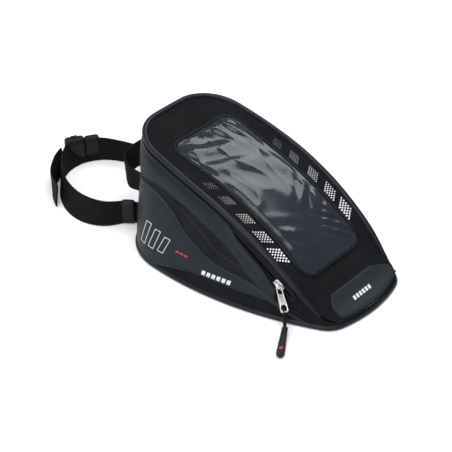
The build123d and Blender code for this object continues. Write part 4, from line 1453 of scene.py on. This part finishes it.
def flatMark(name, corners, place, body, material, thick=0.12, radius=0.4):
    # a thin printed shape laid on a surface: place turns plan points into points in space
    outer = roundedPoly(corners, radius, 3)
    centre = sum((Vector(c) for c in outer), Vector((0, 0))) / len(outer)
    rings = [[centre.lerp(p, share) for p in outer] for share in (0.02, 0.35, 0.7, 1.0)]
    n = len(outer)
    verts = []
    for lift in (thick, 0.0):
        for ring in rings:
            verts += [place(p.x, p.y, lift) for p in ring]
    faces = []
    for layerIndex in (0, 1):
        base = layerIndex * 4 * n
        faces.append(tuple(base + k for k in (range(n) if layerIndex == 0 else reversed(range(n)))))
        for r in range(3):
            for k in range(n):
                a, b = base + r * n + k, base + r * n + (k + 1) % n
                quad = (a, a + n, b + n, b)
                faces.append(quad if layerIndex == 0 else quad[::-1])
    for k in range(n):
        a, b = 3 * n + k, 3 * n + (k + 1) % n
        faces.append((a, a + 4 * n, b + 4 * n, b))
    return meshObject(name, verts, faces, body, material, smooth=False)


def bars(name, count, width, height, gap, slant, place, body, material):
    pieces = []
    start = -(count * width + (count - 1) * gap) / 2
    for k in range(count):
        x = start + k * (width + gap)
        corners = [(x, -height / 2), (x + width, -height / 2), (x + width + slant, height / 2),
                   (x + slant, height / 2)]
        pieces.append(flatMark(name + str(k), corners, place, None, material))
    return joined(name, pieces, body)


bars("patchBars", 6, 3.4, 4.4, 1.7, 1.2, lambda x, y, out: onLid(x, -133.5 + y, 1.22 + out), "bag",
     whitePrint)


def sidePlace(y0, z0, lean, side=-1):
    # plan points laid on the side panel's skin, x along it toward the nose, y up it
    def at(x, y, out):
        x = x * -side
        yy = y0 - x * math.cos(lean) + y * math.sin(lean)
        zz = z0 - x * math.sin(lean) + y * math.cos(lean)
        u = uAt(yy, zz)
        bottom, top = heightOn(u, low), heightOn(u, meshEdge)
        puff = fullBetween((zz - bottom) / (top - bottom), panels["seamDepth"],
                           1.6) * min(1.0, (top - bottom) / 12)
        p, normal = wall(u, zz, 0, side)
        return p + normal * (puff + soft(p, 0.45, 0.035) + 0.04 + out)
    return at


def frameMark(name, corners, line, place, body, material):
    # the outline of a shape, in thin print
    pieces = []
    for k, a in enumerate(corners):
        a, b = Vector(a), Vector(corners[(k + 1) % len(corners)])
        way = (b - a).normalized()
        off = Vector((-way.y, way.x)) * line / 2
        a, b = a - way * line / 2, b + way * line / 2
        steps = max(1, int((b - a).length / 3))
        for n in range(steps):
            p, q = a.lerp(b, n / steps), a.lerp(b, (n + 1) / steps)
            pieces.append(flatMark(name, [p - off, q - off, q + off, p + off], place, None, material,
                                   radius=0.05))
    return joined(name, pieces, body)


for side, word in ((-1, "Left"), (1, "Right")):
    bars("sideBars" + word, 6, 4.4, 5.6, 2.0, 1.4, sidePlace(-8, 24.5, -0.02, side), "bag", whitePrint)
    for k in range(3):
        x = -20 + 15 * k
        corners = [(x, -13 + 1.5 * k), (x + 8, -13 + 1.5 * k), (x + 16, 15 - 3 * k), (x + 8, 15 - 3 * k)]
        frameMark("sideStripe" + word + str(k), corners, 0.7, sidePlace(84, 33, 0.0, side), "bag", whitePrint)
    bars("redBars" + word, 3, 4.6, 2.2, 1.4, 0.8, sidePlace(40, 33.5, 0.0, side), "bag", redMark)

for side, word in ((-1, "left"), (1, "right")):
    for name, line, u0, u1, radius, out in (("meshCord.", meshEdge, uAt(-92, 12), uSeam, 0.8, 0.1),
                                            ("lowCord.", low, uAt(-70, 20), uAt(92, 5), 0.8, 0.1),
                                            ("lensCord.", lambda y: seams["lensLow"](y) + 0.2, uAt(-38, 48),
                                             uAt(50, 85), 0.85, 0.9),
                                            ("bandCord.", lambda y: bandEdge(y) - 0.2, uAt(-90, 18), uSeam,
                                             0.8, 0.4)):
        path = []
        for k in range(121):
            u = u0 + (u1 - u0) * k / 120
            path.append(wall(u, heightOn(u, line), out, side)[0])
        tube(name + word, path, radius, "bag", pipingPu, 8)
print("marks ready")

# reflective dots beside the window

dotRows = [(31.0, 10.0, 0.27), (7.0, 11.0, 0.4), (-19.5, 12.0, 0.6), (-43.5, 13.0, 0.8), (-65.0, 14.0, 0.97)]
for side, word in ((-1, "Left"), (1, "Right")):
    places = []
    for y, size, dot in dotRows:
        pitch = size / 4.3
        for i in range(5):
            for j in range(5):
                across = pitch * i * 0.86
                along = pitch * (j - 2 + 0.5 * (i - 2))
                px, py = side * (51.9 + across), y + along
                lift = 0.1 + soft(Vector((px, py, 3)), 0.35, 0.045)
                radius = pitch * 0.37 * dot * (1 - 0.05 * i)
                places.append((onLid(px, py, lift), Vector((1, 0, 0)), lidNormal(py), radius))
    dots = scatter("reflectiveDots" + word, dotTree, places, (1.0, 1.0, 0.22), "lid", reflective)
    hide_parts("reflectors_" + word.lower())
print("dots ready")

# stitches along the seams


def stitchRow(points, ups, pitch, gapShare=0.3):
    run = sum((b - a).length for a, b in zip(points, points[1:]))
    count = max(2, int(run / pitch))
    line = evenly(points, count * 2 + 1)
    found = []
    for k in range(count):
        p = line[2 * k + 1]
        way = line[2 * k + 2] - line[2 * k]
        up = ups[min(len(ups) - 1, int((2 * k + 1) / (2 * count) * len(ups)))]
        found.append((p, way, up, 1.0))
    return found


stitchSize = (1.25, 0.30, 0.26)
lidStitches = []
loopOut = windowLoop(3.2, 400)
loopOut.append(loopOut[0])
lidStitches += stitchRow([onLid(p.x, p.y, 1.12) for p in loopOut], [lidNormal(p.y) for p in loopOut], 3.0)
scatter("windowStitches", stitchTree, lidStitches, stitchSize, "lid", threadDark)


def wallSeam(line, u0, u1, out, side, steps=200):
    pts, ups = [], []
    for k in range(steps + 1):
        u = u0 + (u1 - u0) * k / steps
        p, normal = wall(u, heightOn(u, line), out, side)
        pts.append(p)
        ups.append(normal)
    return pts, ups


bagStitches = []
for side in (-1, 1):
    for line, u0, u1, out in ((lambda y: bandEdge(y) + 1.3, uHood, 5.0, 0.75),
                              (lambda y: meshEdge(y) - 1.3, uAt(-90, 15), uSeam, 0.9),
                              (lambda y: low(y) + 1.3, uAt(-60, 20), uAt(92, 5), 0.9)):
        pts, ups = wallSeam(line, u0, u1, out, side)
        bagStitches += stitchRow(pts, ups, 3.0)


padBoxes = [(sign * 50, low, high) for sign in (-1, 1) for low, high in ((47.5, 72.5), (8.0, 27.0))]
for x, z0, z1 in padBoxes:
    corners = [(x - 7, z0), (x + 7, z0), (x + 7, z1), (x - 7, z1)]
    runs = list(zip(corners, corners[1:] + corners[:1])) + [(corners[0], corners[2]),
                                                            (corners[1], corners[3])]
    for a, b in runs:
        found = [frontPoint(a[0] + (b[0] - a[0]) * t / 12, a[1] + (b[1] - a[1]) * t / 12,
                            1.45) for t in range(13)]
        bagStitches += stitchRow([p for p, _ in found], [n for _, n in found], 2.6)
scatter("wallStitches", stitchTree, bagStitches, stitchSize, "bag", threadDark)
outline = [patchPoint(-0.96, t / 20, 1.25) for t in range(1, 20)]
outline += [patchPoint(-0.96 + 1.92 * k / 40, 0.94, 1.25) for k in range(41)]
outline += [patchPoint(0.96, t / 20, 1.25) for t in range(19, 0, -1)]
patchStitches = stitchRow(outline, [lidNormal(-128)] * 20, 3.0)
scatter("patchStitches", stitchTree, patchStitches, stitchSize, "bag", threadDark)
print("stitches ready")

# upright seams at the tall end

for side, word in ((-1, "left"), (1, "right")):
    path = []
    for k in range(60):
        z = 5.0 + (heightOn(uSeam, bandEdge) - 5.0) * k / 59
        p, normal = wall(uSeam, z, 0.3, side)
        path.append(p)
    across = [wall(uSeam, p.z, 0, side)[1].cross(Vector((0, 0, 1))) for p in path]
    bind = sweepBand("cornerPiping." + word, path, across, 2.0, 1.5, "bag", pipingPu, sides=12, square=0.9)
    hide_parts("corner_binding_" + word)

# inside: padded lining, floor lining, nose pad

inside = {"from": -1.25, "to": -5.1, "steps": 240, "rows": 16}
padOut, padIn = [], []
for k in range(inside["steps"]):
    u = 10 * k / inside["steps"]
    side = -1 if u <= 5 else 1
    uu = u if u <= 5 else 10 - u
    topLine = lambda y: min(lidHeight(y, -3.6), zipHeight(y, -5.2)) if y > foldY else lidHeight(y, -3.6)
    z1 = heightOn(uu, topLine)
    rowOut, rowIn = [], []
    for j in range(inside["rows"]):
        v = j / (inside["rows"] - 1)
        z = 8.2 + (max(z1, 9.0) - 8.2) * v
        crown = min(1.0, (1 - v) * 6) ** 0.5
        p, normal = wall(uu, z, 0, side)
        rowOut.append(p + normal * (inside["from"] - 0.8 * (1 - crown)))
        rowIn.append(p + normal * (inside["to"] + 0.9 * (1 - crown) + soft(p, 0.5, 0.05) * crown))
    padOut.append(rowOut)
    padIn.append(rowIn)


def closedRing(name, outer, inner, body, material):
    n, m = len(outer), len(outer[0])
    verts = [p for row in outer for p in row] + [p for row in inner for p in row]
    faces = gridFaces(n, m, closedRows=True) + gridFaces(n, m, closedRows=True, flip=True, base=n * m)
    for i in range(n):
        i2 = (i + 1) % n
        for j, flip in ((0, False), (m - 1, True)):
            a, b = i * m + j, i2 * m + j
            quad = (a, a + n * m, b + n * m, b)
            faces.append(quad if flip else quad[::-1])
    return meshObject(name, verts, faces, body, material)


wallPad = closedRing("wallPadding", padOut, padIn, "bag", liningCloth)
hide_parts("wall_foam", "wall_lining")


def footPoint(height):
    def at(u, inset):
        side = -1 if u <= 5 else 1
        return wall(u if u <= 5 else 10 - u, height, -inset, side)
    return at


def footSheet(name, z, thick, inset, material, uneven, node):
    # a level sheet inside the foot of the walls, kept under the nose
    columns, rows = 60, 100
    grid = coons(columns, rows, inset, footPoint(z))
    top, under = [], []
    for row in grid:
        edge = [min(1.0, min(i, columns - 1 - i) / 5) for i in range(columns)]
        high = [min(z + uneven * soft(Vector((p.x, p.y, z)), 1.0, 0.03) * e,
                    max(lidHeight(p.y, -4.6), 1.0 + thick))
                for p, e in zip(row, edge)]
        top.append([Vector((p.x, p.y, h)) for p, h in zip(row, high)])
        under.append([Vector((p.x, p.y, h - thick)) for p, h in zip(row, high)])
    sheet = shellObject(name, top, under, "bag", material)
    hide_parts(node)
    return sheet


footSheet("floorLining", 8.9, 0.8, 4.9, liningCloth, 0.5, "base_lining")

for node, material in (("base_board", boardBlack), ("base_foam", foamGrey), ("base_skin", gripBase),
                       ("magnets", magnetSteel)):
    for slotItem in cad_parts[node].material_slots:
        slotItem.material = material
print("inside ready")

# floor and light

floorMesh = bpy.data.meshes.new("floor")
floorMesh.from_pydata([(-4, -4, 0), (4, -4, 0), (4, 4, 0), (-4, 4, 0)], [], [(0, 1, 2, 3)])
floor = bpy.data.objects.new("floor", floorMesh)
bpy.context.collection.objects.link(floor)
floorFinish = bpy.data.materials.new("paleFloor")
floorFinish.use_nodes = True
floorFinish.node_tree.nodes["Principled BSDF"].inputs["Base Color"].default_value = (0.93, 0.93, 0.93, 1)
floorFinish.node_tree.nodes["Principled BSDF"].inputs["Roughness"].default_value = 0.9
floorMesh.materials.append(floorFinish)

lights = [("top", (-0.3, -0.3, 1.9), 1.4, 26.0), ("right", (1.10, 0.22, 1.30), 0.85, 13.0),
          ("left", (-1.5, -0.4, 0.7), 0.9, 14.0), ("behind", (-0.5, 1.6, 0.8), 1.0, 10.0)]
for name, place, size, power in lights:
    lamp = bpy.data.lights.new(name, "AREA")
    lamp.shape = "SQUARE"
    lamp.size = size
    lamp.energy = power
    lamp.color = (0.90, 0.94, 1.0) if name == "right" else (1, 1, 1)
    light = bpy.data.objects.new(name, lamp)
    light.location = place
    light.rotation_euler = (Vector(place) - Vector((0, 0.05, 0.05))).to_track_quat("Z", "Y").to_euler()
    bpy.context.collection.objects.link(light)
world = bpy.data.worlds.new("studio")
bpy.context.scene.world = world
world.use_nodes = True
world.node_tree.nodes["Background"].inputs["Color"].default_value = (1, 1, 1, 1)
world.node_tree.nodes["Background"].inputs["Strength"].default_value = 0.36
bpy.context.scene.view_settings.view_transform = "Standard"
print("lights ready")
